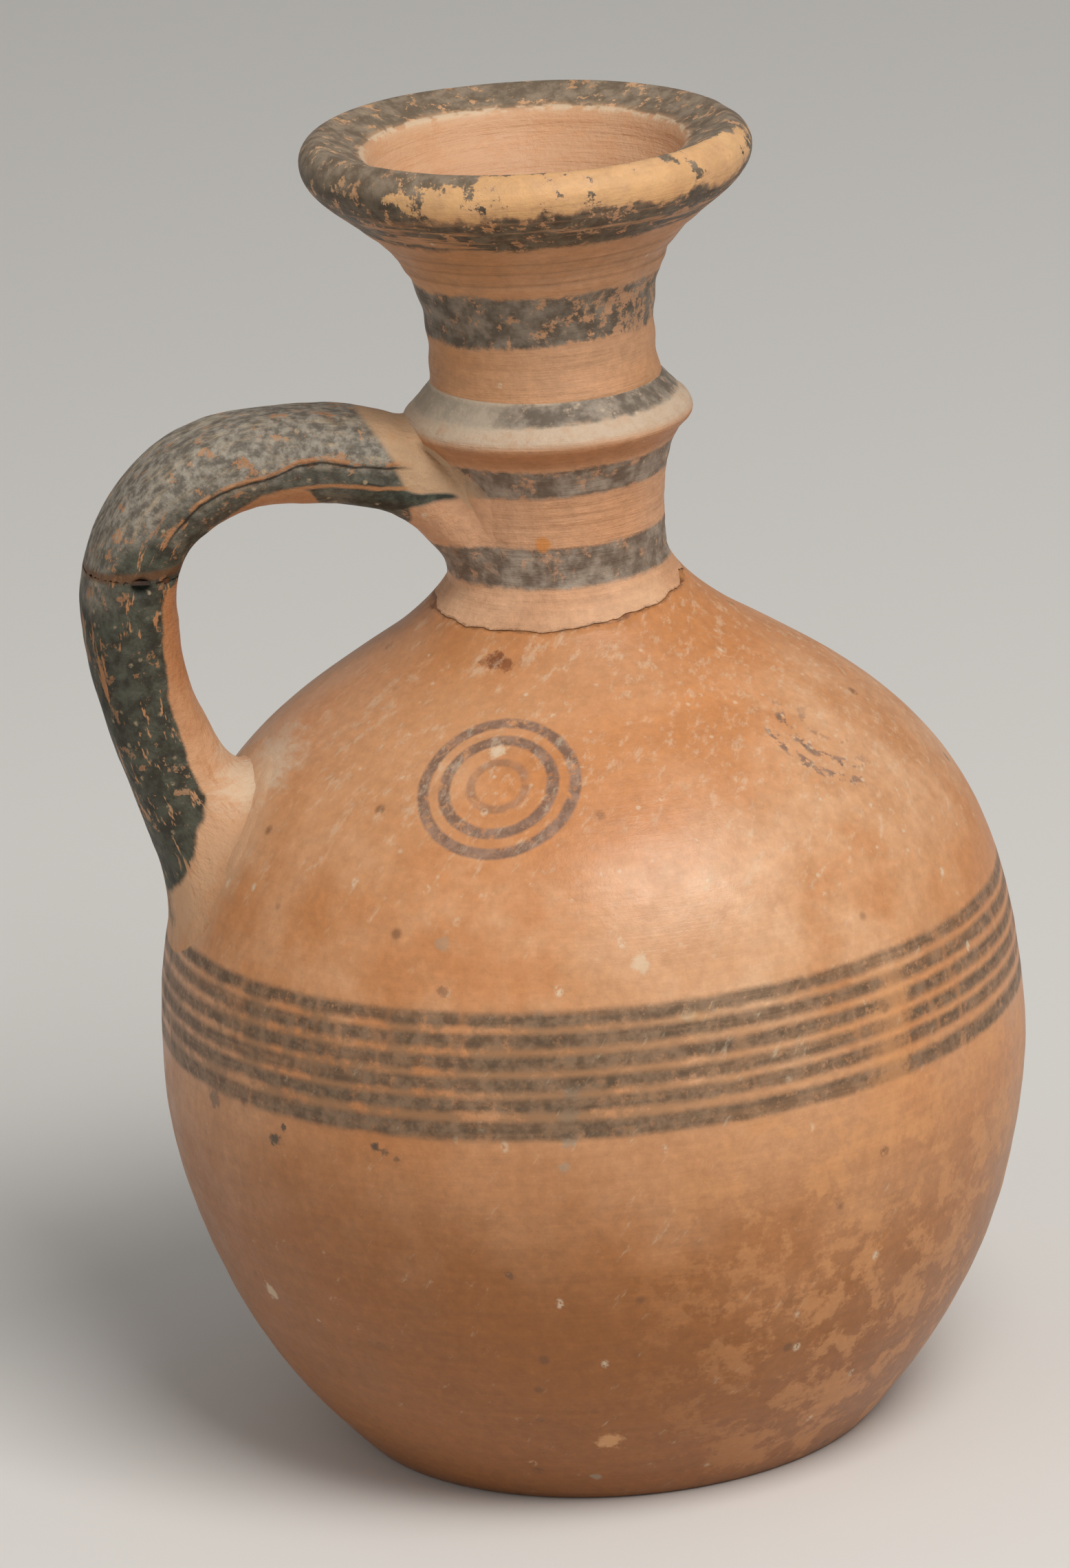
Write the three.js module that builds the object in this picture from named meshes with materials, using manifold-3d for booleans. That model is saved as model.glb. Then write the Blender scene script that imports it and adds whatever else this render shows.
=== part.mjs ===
// A small wheel-thrown juglet: an egg-shaped body on a flat base, a neck with a collar,
// a flared mouth with a thick lip, and one strap handle from the collar to the shoulder.
// The real one was broken and mended, so the neck and the handle each part at a break
// that a film of glue fills. Luting clay joins the handle's two roots to the vessel.
// Millimetres, +Z up, the origin at the centre of the base, the handle towards -X.

import * as THREE from "three";
import { mergeVertices } from "three/addons/utils/BufferGeometryUtils.js";
import Module from "manifold-3d";

const wasm = await Module();
wasm.setup();

// Body
const baseRadius = 17.6;
const baseFlare = 44; // degrees above level at which the wall leaves the base
const baseRun = 14.5; // how far the wall keeps that direction, as a curve handle
const bellyRadius = 29.1;
const bellyHeight = 26.5;
const bellyRunBelow = 3.5;
const bellyRunAbove = 17.9;
const shoulderRadius = 12.9; // where the round shoulder turns up into the neck
const shoulderHeight = 54.4;
const shoulderSlope = 33; // degrees above level
const shoulderRun = 10.4;
const bodyWall = 3.1;
const floorThickness = 4.2;

// Neck and collar
const waistRadius = 7.15; // the neck's narrowest place
const waistRise = 6.2; // above the shoulder
const neckBoreRadius = 4.6;
const neckCornerRun = 2.2; // softness of the corner between shoulder and neck
const collarRadius = 9.6;
const collarRise = 9.3; // the collar's nose above the waist
const collarNose = 0.8; // rounding of the nose
const collarUnderside = 50; // degrees that the underside leans out from upright
const collarUndersideRun = 1.8;
const neckRun = 5.4;
const seatRise = 2.4; // the mouth's seat above the collar's nose
const seatRadius = 7.65;

// Mouth
const mouthWaistRadius = 7.45;
const mouthWaistRise = 2.4; // above the seat
const flareRadius = 11.9; // where the flare turns into the lip's round underside
const flareRise = 9.4; // above the mouth's waist
const flareSlope = 40; // degrees above level
const flareRun = 3.0;
const lipRadius = 14.95;
const lipRise = 3.7; // the lip's widest place above the flare's end
const lipRun = 1.6;
const rimRise = 1.6; // the rim's top above the lip's widest place
const rimRadius = 13.5;
const mouthEdgeRadius = 10.5; // inner edge of the rim's sloping top
const mouthEdgeDrop = 1.3; // below the rim's top
const mouthEdgeRound = 0.5;
const funnelDepth = 12.5; // from the inner edge down to the bore

// Handle
const handleWidth = 8.6;
const handleThickness = 6.6;
const handleRootWidth = 10.0;
const handleRootThickness = 5.8;
const handleFootWidth = 12.0;
const handleFootThickness = 9.7;
const handleSquareness = 2.5; // exponent of the section: 2 is an ellipse
const handleSpread = 0.3; // share of the length over which each root widens
const handleRootDrop = 5.1; // root's centre below the collar's nose
const handleRootRise = 53; // degrees at which the handle leaves the neck
const handleCrownDrop = 3.3; // crown's centreline below the mouth's seat
const handleCrownReach = 11.9; // crown beyond the neck's waist
const handleFootDrop = 10.2; // foot's centre below the shoulder
const handleFootLean = 65.4; // degrees below level at which it comes down to the body
const handleBow = 4.0; // outermost centreline beyond the body at the foot
const handleBowDrop = 10.0; // outermost place below the crown's centreline
const handleBend = 0.6; // how square the bend between crown and bow is, 0.55 being round

// Breaks and glue
const neckBreakRise = 3.8; // above the shoulder
const neckBreakSway = 0.8; // rise and fall of the break round the neck
const neckBreakDip = -123; // direction in which the break lies lowest, degrees from +X
const neckBreakChatter = 0.14; // small teeth of the break
const neckBreakTeeth = 9;
const handleBreakDrop = 6.6; // below the crown's centreline
const glueThickness = 0.3;
const glueSetback = 0.35; // the glue stays this far inside the surface
const clearance = 0.3; // between curved faces that meet

// Luting clay under the handle's roots, a seat with a hollow slope round it
const padMiddle = 1.2; // thickness in the middle
const padEdge = 0.25; // thickness at the edge
const padSeat = 0.72; // share of the way to the edge at which the slope begins
// Their edges, as millimetres round the vessel and up its wall from the root's centre,
// and the thickness at which the slope begins on that side
const collarPadEdge = [[0, 4.8, 0.5], [4.6, 4.2, 0.6], [6.3, 2.5, 0.8], [7.0, 1.2, 0.8], [6.3, -0.6, 1.0],
  [5.7, -3.9, 1.2], [0, -5.7, 1.1], [-5.7, -3.9, 1.2], [-6.3, 0, 1.2], [-5, 3.6, 0.7]];
const shoulderPadEdge = [[0, 7.4, 1.9], [5.6, 5.9, 1.7], [8.2, 0.4, 1.5], [6.6, -5.2, 1.0], [0, -7.6, 0.7],
  [-6.0, -5.2, 1.0], [-7.8, 0.4, 1.5], [-5.4, 5.9, 1.7]];

// Smoothness
const turnSteps = 56;
const strokeSteps = 6;
const mouthStrokeSteps = 4;
const handleSteps = 26;
const sectionSteps = 18;
const innerStep = 5; // length along the body's inner wall between its points
const padSpokes = 24;
const padRings = [0.4, padSeat, 0.8, 0.9, 1]; // shares of the way from a pad's middle to its edge
const breakShares = [0.35, 0.7]; // where outline points lie between the break and the next common height
const searchStep = 0.001; // precision of the lengths found along the outline

// Heights and places that follow
const waistHeight = shoulderHeight + waistRise;
const collarHeight = waistHeight + collarRise;
const seatHeight = collarHeight + seatRise;
const mouthWaistHeight = seatHeight + mouthWaistRise;
const flareHeight = mouthWaistHeight + flareRise;
const lipHeight = flareHeight + lipRise;
const rimHeight = lipHeight + rimRise;
const mouthEdgeHeight = rimHeight - mouthEdgeDrop;
const handleCrownHeight = seatHeight - handleCrownDrop;
const handleFootHeight = shoulderHeight - handleFootDrop;
const handleBowHeight = handleCrownHeight - handleBowDrop;
const handleBreakHeight = handleCrownHeight - handleBreakDrop;

const degrees = THREE.MathUtils.degToRad;
const towards = (angle, length) => new THREE.Vector2(Math.cos(degrees(angle)), Math.sin(degrees(angle)))
  .multiplyScalar(length);

// Outlines, as radius and height

function bodyOutline() {
  const leave = towards(baseFlare, baseRun);
  const arrive = towards(180 - shoulderSlope, shoulderRun);
  const turn = towards(180 - shoulderSlope, neckCornerRun);
  const path = new THREE.Path();
  path.moveTo(baseRadius, 0);
  path.bezierCurveTo(baseRadius + leave.x, leave.y, bellyRadius, bellyHeight - bellyRunBelow,
    bellyRadius, bellyHeight);
  path.bezierCurveTo(bellyRadius, bellyHeight + bellyRunAbove, shoulderRadius - arrive.x,
    shoulderHeight - arrive.y, shoulderRadius, shoulderHeight);
  path.bezierCurveTo(shoulderRadius + turn.x, shoulderHeight + turn.y, waistRadius,
    waistHeight - neckCornerRun, waistRadius, waistHeight);
  return path;
}

function vesselOutline() {
  const path = bodyOutline();
  const noseStart = towards(-collarUnderside, collarNose);
  const underside = towards(90 - collarUnderside, collarUndersideRun);
  const start = new THREE.Vector2(collarRadius - collarNose + noseStart.x, collarHeight + noseStart.y);
  path.bezierCurveTo(waistRadius, waistHeight + neckRun, start.x - underside.x, start.y - underside.y,
    start.x, start.y);
  path.bezierCurveTo(start.x + underside.x / 6, start.y + underside.y / 6,
    collarRadius, collarHeight - collarNose * 0.4, collarRadius, collarHeight);
  path.quadraticCurveTo(collarRadius, collarHeight + collarNose * 0.6,
    collarRadius - collarNose * 0.6, collarHeight + collarNose);
  path.lineTo(seatRadius, seatHeight);
  return path;
}

function mouthOutline() {
  const flare = towards(flareSlope, 1);
  const path = new THREE.Path();
  path.moveTo(seatRadius, seatHeight);
  path.quadraticCurveTo(mouthWaistRadius, seatHeight + mouthWaistRise / 3, mouthWaistRadius, mouthWaistHeight);
  path.bezierCurveTo(mouthWaistRadius, mouthWaistHeight + flareRise * 0.6,
    flareRadius - flare.x * flareRun, flareHeight - flare.y * flareRun, flareRadius, flareHeight);
  path.bezierCurveTo(flareRadius + flare.x * lipRun, flareHeight + flare.y * lipRun,
    lipRadius, lipHeight - lipRun, lipRadius, lipHeight);
  path.bezierCurveTo(lipRadius, lipHeight + rimRise / 2, rimRadius + (lipRadius - rimRadius) / 2, rimHeight,
    rimRadius, rimHeight);
  path.lineTo(mouthEdgeRadius + mouthEdgeRound, mouthEdgeHeight + mouthEdgeRound / 2);
  path.quadraticCurveTo(mouthEdgeRadius, mouthEdgeHeight, mouthEdgeRadius - mouthEdgeRound / 2,
    mouthEdgeHeight - mouthEdgeRound * 2);
  path.bezierCurveTo(neckBoreRadius + (mouthEdgeRadius - neckBoreRadius) / 2, mouthEdgeHeight - funnelDepth / 2,
    neckBoreRadius, mouthEdgeHeight - funnelDepth * 0.6, neckBoreRadius, mouthEdgeHeight - funnelDepth);
  path.lineTo(neckBoreRadius, seatHeight);
  return path;
}

// Places on the vessel's skin

const skin = vesselOutline();
const skinLength = skin.getLength();
const skinPoints = skin.getPoints(strokeSteps);

function radiusAt(height) {
  const above = skinPoints.findIndex((point) => point.y > height);
  const low = skinPoints[above - 1];
  const high = skinPoints[above];
  return THREE.MathUtils.lerp(low.x, high.x, (height - low.y) / (high.y - low.y));
}

function lengthUpTo(height) {
  let low = 0;
  let high = skinLength;
  while (high - low > searchStep) {
    const middle = (low + high) / 2;
    if (skin.getPointAt(middle / skinLength).y < height) low = middle;
    else high = middle;
  }
  return low;
}

// A point of the skin, some way along its outline, lifted off it squarely
function liftedPoint(along, lift) {
  const share = along / skinLength;
  const tangent = skin.getTangentAt(share);
  return skin.getPointAt(share).add(new THREE.Vector2(tangent.y, -tangent.x).multiplyScalar(lift));
}

// The wavy height of the neck's break in a direction
function breakHeight(angle) {
  const sway = -neckBreakSway * Math.cos(angle - degrees(neckBreakDip));
  const teeth = Math.sin(neckBreakTeeth * angle) + Math.sin((2 * neckBreakTeeth - 1) * angle);
  return shoulderHeight + neckBreakRise + sway + neckBreakChatter * teeth;
}

const glueGap = glueThickness + 2 * clearance;
const breakReach = neckBreakSway + 2 * neckBreakChatter + glueGap;
const breakLow = shoulderHeight + neckBreakRise - breakReach;
const breakHigh = shoulderHeight + neckBreakRise + breakReach;

// Points of the outline between one height and another
function pointsBetween(low, high) {
  return breakShares.map((share) => {
    const height = THREE.MathUtils.lerp(low, high, share);
    return new THREE.Vector2(radiusAt(height), height);
  });
}

// Making solids

function geometryFrom(positions, index) {
  const geometry = new THREE.BufferGeometry();
  geometry.setAttribute("position", new THREE.Float32BufferAttribute(positions, 3));
  geometry.setIndex(index);
  return geometry;
}

// Joins the points that coincide and drops the triangles that this leaves without area
function closed(geometry) {
  geometry.deleteAttribute("normal");
  geometry.deleteAttribute("uv");
  const merged = mergeVertices(geometry, 1e-4);
  const index = [];
  for (let i = 0; i < merged.index.count; i += 3) {
    const [a, b, c] = [0, 1, 2].map((corner) => merged.index.getX(i + corner));
    if (a !== b && b !== c && c !== a) index.push(a, b, c);
  }
  return geometryFrom(Array.from(merged.attributes.position.array), index);
}

// Joins rings of points, each ring closed on itself, into one skin
function skinned(rings) {
  const count = rings[0].length;
  const positions = rings.flatMap((ring) => ring.flatMap((point) => point.toArray()));
  const index = [];
  for (let row = 0; row + 1 < rings.length; row++) {
    for (let i = 0; i < count; i++) {
      const here = row * count + i;
      const beside = row * count + ((i + 1) % count);
      index.push(here, beside, beside + count, here, beside + count, here + count);
    }
  }
  return closed(geometryFrom(positions, index));
}

// A turned piece with its own closed outline in each direction
function turned(outlineAt) {
  const rings = [];
  for (let step = 0; step <= turnSteps; step++) {
    const angle = (2 * Math.PI * (step % turnSteps)) / turnSteps;
    const ring = outlineAt(angle)
      .map((point) => new THREE.Vector3(point.x * Math.cos(angle), point.x * Math.sin(angle), point.y));
    rings.push(ring.reverse());
  }
  return skinned(rings);
}

// A turned piece whose outline is the same all round
function lathed(outline) {
  return closed(new THREE.LatheGeometry(outline, turnSteps).rotateX(Math.PI / 2));
}

function solidFrom(geometry) {
  return new wasm.Manifold(new wasm.Mesh({
    numProp: 3,
    vertProperties: Float32Array.from(geometry.attributes.position.array),
    triVerts: Uint32Array.from(geometry.index.array),
  }));
}

function geometryOf(solid) {
  const mesh = solid.getMesh();
  return geometryFrom(Array.from(mesh.vertProperties), Array.from(mesh.triVerts));
}

const onAxis = (height) => new THREE.Vector2(0, height);

// The vessel's pieces

function bodyGeometry() {
  const outer = bodyOutline().getPoints(strokeSteps).filter((point) => point.y < breakLow);
  const inner = [];
  for (let along = lengthUpTo(breakLow); along > 0; along -= innerStep) {
    const point = liftedPoint(along, -bodyWall);
    if (point.y > floorThickness * 1.2 && point.x > neckBoreRadius * 1.1) inner.push(point);
  }
  const throat = new THREE.Vector2(neckBoreRadius, inner[0].y + bodyWall / 3);
  const floorEdge = new THREE.Vector2(baseRadius - bodyWall / 3, floorThickness);
  return turned((angle) => {
    const height = breakHeight(angle) - glueGap / 2;
    const breakFace = [radiusAt(height), neckBoreRadius].map((radius) => new THREE.Vector2(radius, height));
    const nearBreak = pointsBetween(breakLow, height);
    return [onAxis(0), ...outer, ...nearBreak, ...breakFace, throat, ...inner, floorEdge, onAxis(floorThickness)];
  });
}

function neckGeometry() {
  const outer = skinPoints.filter((point) => point.y > breakHigh && point.y <= seatHeight);
  const boreTop = new THREE.Vector2(neckBoreRadius, seatHeight);
  return turned((angle) => {
    const height = breakHeight(angle) + glueGap / 2;
    const breakFace = [neckBoreRadius, radiusAt(height)].map((radius) => new THREE.Vector2(radius, height));
    return [...breakFace, ...pointsBetween(height, breakHigh), ...outer, boreTop];
  });
}

function neckGlueGeometry() {
  return turned((angle) => {
    const low = breakHeight(angle) - glueThickness / 2;
    const high = low + glueThickness;
    const inside = neckBoreRadius + glueSetback;
    return [
      new THREE.Vector2(inside, low),
      new THREE.Vector2(radiusAt(low) - glueSetback, low),
      new THREE.Vector2(radiusAt(high) - glueSetback, high),
      new THREE.Vector2(inside, high),
    ];
  });
}

function mouthGeometry() {
  const outline = mouthOutline().getPoints(mouthStrokeSteps);
  return lathed([...outline, outline[0]]);
}

// The vessel's skin as a full solid, lifted off by a gap, which trims what is set against it
function vesselCutter(lift) {
  const outline = [];
  for (const point of skinPoints) {
    const along = lengthUpTo(point.y);
    outline.push(liftedPoint(along, lift));
  }
  return solidFrom(lathed([onAxis(outline[0].y), ...outline, onAxis(outline.at(-1).y)]));
}

// The handle

function handlePath() {
  const root = new THREE.Vector3(-waistRadius, 0, collarHeight - handleRootDrop);
  const crown = new THREE.Vector3(-waistRadius - handleCrownReach, 0, handleCrownHeight);
  const foot = new THREE.Vector3(-radiusAt(handleFootHeight), 0, handleFootHeight);
  const bow = new THREE.Vector3(foot.x - handleBow, 0, handleBowHeight);
  const leave = towards(180 - handleRootRise, 1);
  const arrive = towards(-handleFootLean, 1);
  const leaving = new THREE.Vector3(leave.x, 0, leave.y);
  const arriving = new THREE.Vector3(arrive.x, 0, arrive.y);
  const along = (from, direction, length) => from.clone().addScaledVector(direction, length);
  const out = new THREE.Vector3(-1, 0, 0);
  const down = new THREE.Vector3(0, 0, -1);
  const rootRun = root.distanceTo(crown) / 3;
  const bendOut = Math.abs(bow.x - crown.x) * handleBend;
  const bendDown = (crown.z - bow.z) * handleBend;
  const footRun = bow.distanceTo(foot) / 3;
  const path = new THREE.CurvePath();
  path.add(new THREE.LineCurve3(along(root, leaving, -rootRun), root));
  path.add(new THREE.CubicBezierCurve3(root, along(root, leaving, rootRun), along(crown, out, -rootRun), crown));
  path.add(new THREE.CubicBezierCurve3(crown, along(crown, out, bendOut), along(bow, down, -bendDown), bow));
  path.add(new THREE.CubicBezierCurve3(bow, along(bow, down, footRun), along(foot, arriving, -footRun), foot));
  path.add(new THREE.LineCurve3(foot, along(foot, arriving, footRun)));
  return path;
}

// Grows from the handle's own size in its middle to the size of its root or foot
function spreadAt(share, middle, root, foot) {
  const nearRoot = Math.max(0, 1 - share / handleSpread) ** 2;
  const nearFoot = Math.max(0, 1 - (1 - share) / handleSpread) ** 2;
  return middle + (root - middle) * nearRoot + (foot - middle) * nearFoot;
}

function sectionPoint(angle, width, thickness) {
  const power = 2 / handleSquareness;
  const round = (value) => Math.sign(value) * Math.abs(value) ** power;
  return new THREE.Vector2(round(Math.cos(angle)) * width / 2, round(Math.sin(angle)) * thickness / 2);
}

function handleSolid(setback) {
  const path = handlePath();
  const side = new THREE.Vector3(0, 1, 0);
  const rings = [];
  for (let step = 0; step <= handleSteps; step++) {
    const share = step / handleSteps;
    const centre = path.getPointAt(share);
    const out = side.clone().cross(path.getTangentAt(share)).normalize();
    const width = spreadAt(share, handleWidth, handleRootWidth, handleFootWidth) - 2 * setback;
    const thickness = spreadAt(share, handleThickness, handleRootThickness, handleFootThickness) - 2 * setback;
    const ring = [];
    for (let i = 0; i < sectionSteps; i++) {
      const point = sectionPoint((-2 * Math.PI * i) / sectionSteps, width, thickness);
      ring.push(centre.clone().addScaledVector(side, point.x).addScaledVector(out, point.y));
    }
    rings.push(ring);
  }
  const start = path.getPointAt(0);
  const end = path.getPointAt(1);
  return solidFrom(skinned([rings[0].map(() => start), ...rings, rings[0].map(() => end)]));
}

// The luting clay

// Rings of points from a pad's middle to its edge, on the skin where the handle's root is
function padRows(edge, rootHeight, liftAt, spread) {
  const rim = new THREE.CatmullRomCurve3(edge.map((corner) => new THREE.Vector3(...corner)), true);
  const rootAlong = lengthUpTo(rootHeight);
  const rows = [];
  for (const share of [0, ...padRings]) {
    const row = [];
    for (let spoke = 0; spoke < padSpokes; spoke++) {
      const onRim = rim.getPoint(spoke / padSpokes);
      const place = new THREE.Vector2(onRim.x, onRim.y);
      place.multiplyScalar(share * (1 + spread / place.length()));
      const along = Math.min(rootAlong + place.y, skinLength - searchStep);
      const point = liftedPoint(along, liftAt(share, onRim.z));
      const angle = Math.PI + place.x / skin.getPointAt(along / skinLength).x;
      row.push(new THREE.Vector3(point.x * Math.cos(angle), point.x * Math.sin(angle), point.y));
    }
    rows.push(row);
  }
  return rows;
}

// The top of a pad above the skin, at a share of the way to an edge of its own thickness
function padTop(share, thickness) {
  if (share <= padSeat) return clearance + THREE.MathUtils.lerp(padMiddle, thickness, share / padSeat);
  return clearance + padEdge + (thickness - padEdge) * ((1 - share) / (1 - padSeat)) ** 2;
}

function padGeometry(edge, rootHeight) {
  const under = padRows(edge, rootHeight, () => clearance, 0);
  const over = padRows(edge, rootHeight, padTop, 0);
  return skinned([...over, ...under.reverse()]);
}

function padCutter(edge, rootHeight) {
  const under = padRows(edge, rootHeight, () => -clearance, clearance);
  const over = padRows(edge, rootHeight, (share, thickness) => padTop(share, thickness) + clearance, clearance);
  return solidFrom(skinned([...over, ...under.reverse()]));
}

// The handle's sherds

function blockSolid(low, high) {
  const size = high.clone().sub(low);
  const centre = low.clone().addScaledVector(size, 0.5);
  const block = new THREE.BoxGeometry(size.x, size.y, size.z).translate(centre.x, centre.y, centre.z);
  return solidFrom(closed(block));
}

const rootHeight = collarHeight - handleRootDrop;
const outside = 3 * bellyRadius;

// All that lies out past the finger gap and between two heights
function outerBlock(low, high) {
  const gapMiddle = -(waistRadius + handleCrownReach);
  return blockSolid(new THREE.Vector3(-outside, -outside, low), new THREE.Vector3(gapMiddle, outside, high));
}

// The largest body of a cut solid, without the crumbs that the cut leaves
function mainBody(solid) {
  return solid.decompose().reduce((main, body) => (body.volume() > main.volume() ? body : main));
}

const seatedHandle = handleSolid(0)
  .subtract(vesselCutter(clearance))
  .subtract(padCutter(collarPadEdge, rootHeight))
  .subtract(padCutter(shoulderPadEdge, handleFootHeight));
const breakUnder = handleBreakHeight - glueThickness / 2;
const breakOver = handleBreakHeight + glueThickness / 2;

const handleUpper = mainBody(seatedHandle.subtract(outerBlock(-outside, breakOver)));
const handleLower = mainBody(seatedHandle.intersect(outerBlock(-outside, breakUnder)));
const handleGlue = mainBody(handleSolid(glueSetback).intersect(outerBlock(breakUnder, breakOver)));

// The assembly

const clay = (color) => new THREE.MeshStandardMaterial({ color, roughness: 0.8, metalness: 0 });
const glue = (color) => new THREE.MeshStandardMaterial({ color, roughness: 0.45, metalness: 0 });

const juglet = new THREE.Group();

function addPiece(name, geometry, material) {
  const piece = new THREE.Mesh(geometry, material);
  piece.name = name;
  juglet.add(piece);
}

addPiece("body", bodyGeometry(), clay(0xc4784c));
addPiece("neck", neckGeometry(), clay(0xc28058));
addPiece("mouth", mouthGeometry(), clay(0xc9885f));
addPiece("neck_glue", neckGlueGeometry(), glue(0x5a3218));
addPiece("handle_upper", geometryOf(handleUpper), clay(0x4c4a44));
addPiece("handle_lower", geometryOf(handleLower), clay(0x3f4038));
addPiece("handle_glue", geometryOf(handleGlue), glue(0x4a2a16));
addPiece("collar_root_clay", padGeometry(collarPadEdge, rootHeight), clay(0xc9a07c));
addPiece("shoulder_root_clay", padGeometry(shoulderPadEdge, handleFootHeight), clay(0xcb9a76));

export default juglet;
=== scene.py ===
"""A small wheel-thrown juglet in burnished orange clay, with worn dark paint and two old mends.

Sizes in the classes are millimetres, with the origin at the centre of the base, +Z up and the
handle towards -X. A direction round the vessel is given in degrees from -Y towards +X.
"""
import logging
import math
from dataclasses import dataclass
from enum import Enum
from functools import cached_property, reduce
from operator import or_
from typing import Any, Callable, Iterable, Sequence

import bpy
import numpy as np
from mathutils import Matrix, Vector, noise
from mathutils.geometry import interpolate_bezier


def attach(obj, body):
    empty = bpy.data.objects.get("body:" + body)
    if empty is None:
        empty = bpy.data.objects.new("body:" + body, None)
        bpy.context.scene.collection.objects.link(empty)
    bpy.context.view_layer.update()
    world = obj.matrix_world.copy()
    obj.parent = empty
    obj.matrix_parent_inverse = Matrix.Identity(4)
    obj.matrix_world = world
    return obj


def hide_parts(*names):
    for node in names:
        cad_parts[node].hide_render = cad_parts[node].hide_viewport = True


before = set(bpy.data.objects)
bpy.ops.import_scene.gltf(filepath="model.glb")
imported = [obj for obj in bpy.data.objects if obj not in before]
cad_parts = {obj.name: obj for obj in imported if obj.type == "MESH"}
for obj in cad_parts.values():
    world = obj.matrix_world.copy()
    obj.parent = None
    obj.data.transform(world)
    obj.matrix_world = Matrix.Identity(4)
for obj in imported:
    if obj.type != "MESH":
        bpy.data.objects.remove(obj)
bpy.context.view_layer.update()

log = logging.getLogger("juglet")

Piece = bpy.types.Object
Socket = bpy.types.NodeSocket
Colour = tuple[float, float, float, float]

MM = 0.001
BODY = "root"


class Slot(Enum):
    """The record's material slots."""

    PAINTED_CLAY = "painted_clay"
    HANDLE_PAINT = "handle_paint"
    BARE_CLAY = "bare_clay"
    GLUE = "glue"


class MeshPart(Enum):
    """A kind of part of a mesh: its select mode and the name of its list."""

    POINT = ("VERT", "vertices")
    EDGE = ("EDGE", "edges")
    FACE = ("FACE", "polygons")


# Outlines and other drawing helpers


def towards(angle: float, length: float) -> Vector:
    """Gives a flat vector of a length, in degrees above level."""
    return Vector((math.cos(math.radians(angle)), math.sin(math.radians(angle)))) * length


def stroke(start: Sequence[float], leave: Sequence[float], arrive: Sequence[float],
           end: Sequence[float], count: int = 80) -> list[Vector]:
    """Draws one Bezier stroke.

    Args:
        start: Its first point.
        leave: The point that it leaves the first one towards.
        arrive: The point that it comes to the last one from.
        end: Its last point.
        count: How many points to give.

    Returns:
        The points from start to end.
    """
    return interpolate_bezier(Vector(start), Vector(leave), Vector(arrive), Vector(end), count)


def soft_corner(start: Sequence[float], corner: Sequence[float], end: Sequence[float],
                count: int = 24) -> list[Vector]:
    """Draws a stroke that turns once, pulled towards a corner point.

    Args:
        start: Its first point.
        corner: The corner that pulls it.
        end: Its last point.
        count: How many points to give.

    Returns:
        The points from start to end.
    """
    first, pull, last = Vector(start), Vector(corner), Vector(end)
    return stroke(first, first.lerp(pull, 2 / 3), last.lerp(pull, 2 / 3), last, count)


def chain(strokes: Sequence[Sequence[Vector]]) -> list[Vector]:
    """Joins strokes that each begin where the last one ends."""
    return [point for line in strokes for point in line[:-1]] + [strokes[-1][-1]]


def runs_of(places: np.ndarray) -> np.ndarray:
    """Gives how far along their line each of some points lies."""
    steps = np.linalg.norm(np.diff(places, axis=0), axis=1)
    return np.concatenate([[0.0], np.cumsum(steps)])


def evenly(points: Sequence[Vector], step: float) -> list[Vector]:
    """Places points at even steps along a line of points.

    Args:
        points: The line.
        step: The wished distance between the new points.

    Returns:
        The new points, with the line's own two ends.
    """
    places = np.array(points)
    run = runs_of(places)
    wanted = np.linspace(0.0, run[-1], max(2, round(run[-1] / step) + 1))
    columns = [np.interp(wanted, run, column) for column in places.T]
    return [Vector(place) for place in zip(*columns)]


def ramp(low: float, high: float, value: float) -> float:
    """Rises smoothly from 0 at low to 1 at high."""
    share = min(1.0, max(0.0, (value - low) / (high - low)))
    return share * share * (3 - 2 * share)


def grain(place: Vector, size: float, seed: float = 0.0) -> float:
    """Gives smooth noise between about -1 and 1 at a place, with features of a size."""
    return noise.noise(place / size + Vector((seed, 2 * seed, -seed)))


def around(angle: float, radius: float, height: float) -> Vector:
    """Gives the point at a direction in degrees, a radius and a height."""
    turn = math.radians(angle)
    return Vector((radius * math.sin(turn), -radius * math.cos(turn), height))


def direction_of(place: Vector) -> float:
    """Gives the direction of a point round the vessel, in degrees from -Y towards +X."""
    return math.degrees(math.atan2(place.x, -place.y))


def apart(first: float, second: float) -> float:
    """Gives the angle from the second direction to the first, between -180 and 180 degrees."""
    return (first - second + 180) % 360 - 180


def nearness(angle: float, middle: float, span: float) -> float:
    """Gives 1 at a direction, falling evenly to 0 at a span in degrees from it."""
    return max(0.0, 1 - abs(apart(angle, middle)) / span)


def pick_none() -> None:
    """Deselects everything, so that an operator acts on its own piece alone."""
    for piece in bpy.context.selected_objects:
        piece.select_set(False)


def pick(piece: Piece) -> None:
    """Selects one piece alone and makes it the active one.

    Args:
        piece: The piece.
    """
    pick_none()
    piece.select_set(True)
    bpy.context.view_layer.objects.active = piece


def newly_made(name: str) -> Piece:
    """Names the piece that an operator has just made, and gives it.

    Args:
        name: Its name.

    Returns:
        The piece.
    """
    piece = bpy.context.object
    piece.name = piece.data.name = name
    return piece


def choose(piece: Piece, part: MeshPart, rule: Callable[[Any], bool]) -> None:
    """Opens a piece in edit mode with only those parts selected that fit a rule.

    Args:
        piece: The piece.
        part: The kind of part that is selected.
        rule: Takes one part and tells whether it is selected.
    """
    mode, parts = part.value
    pick(piece)
    bpy.ops.object.mode_set(mode="EDIT")
    bpy.ops.mesh.select_mode(type=mode)
    bpy.ops.mesh.select_all(action="DESELECT")
    bpy.ops.object.mode_set(mode="OBJECT")
    for item in getattr(piece.data, parts):
        item.select = rule(item)
    bpy.ops.object.mode_set(mode="EDIT")


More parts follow.
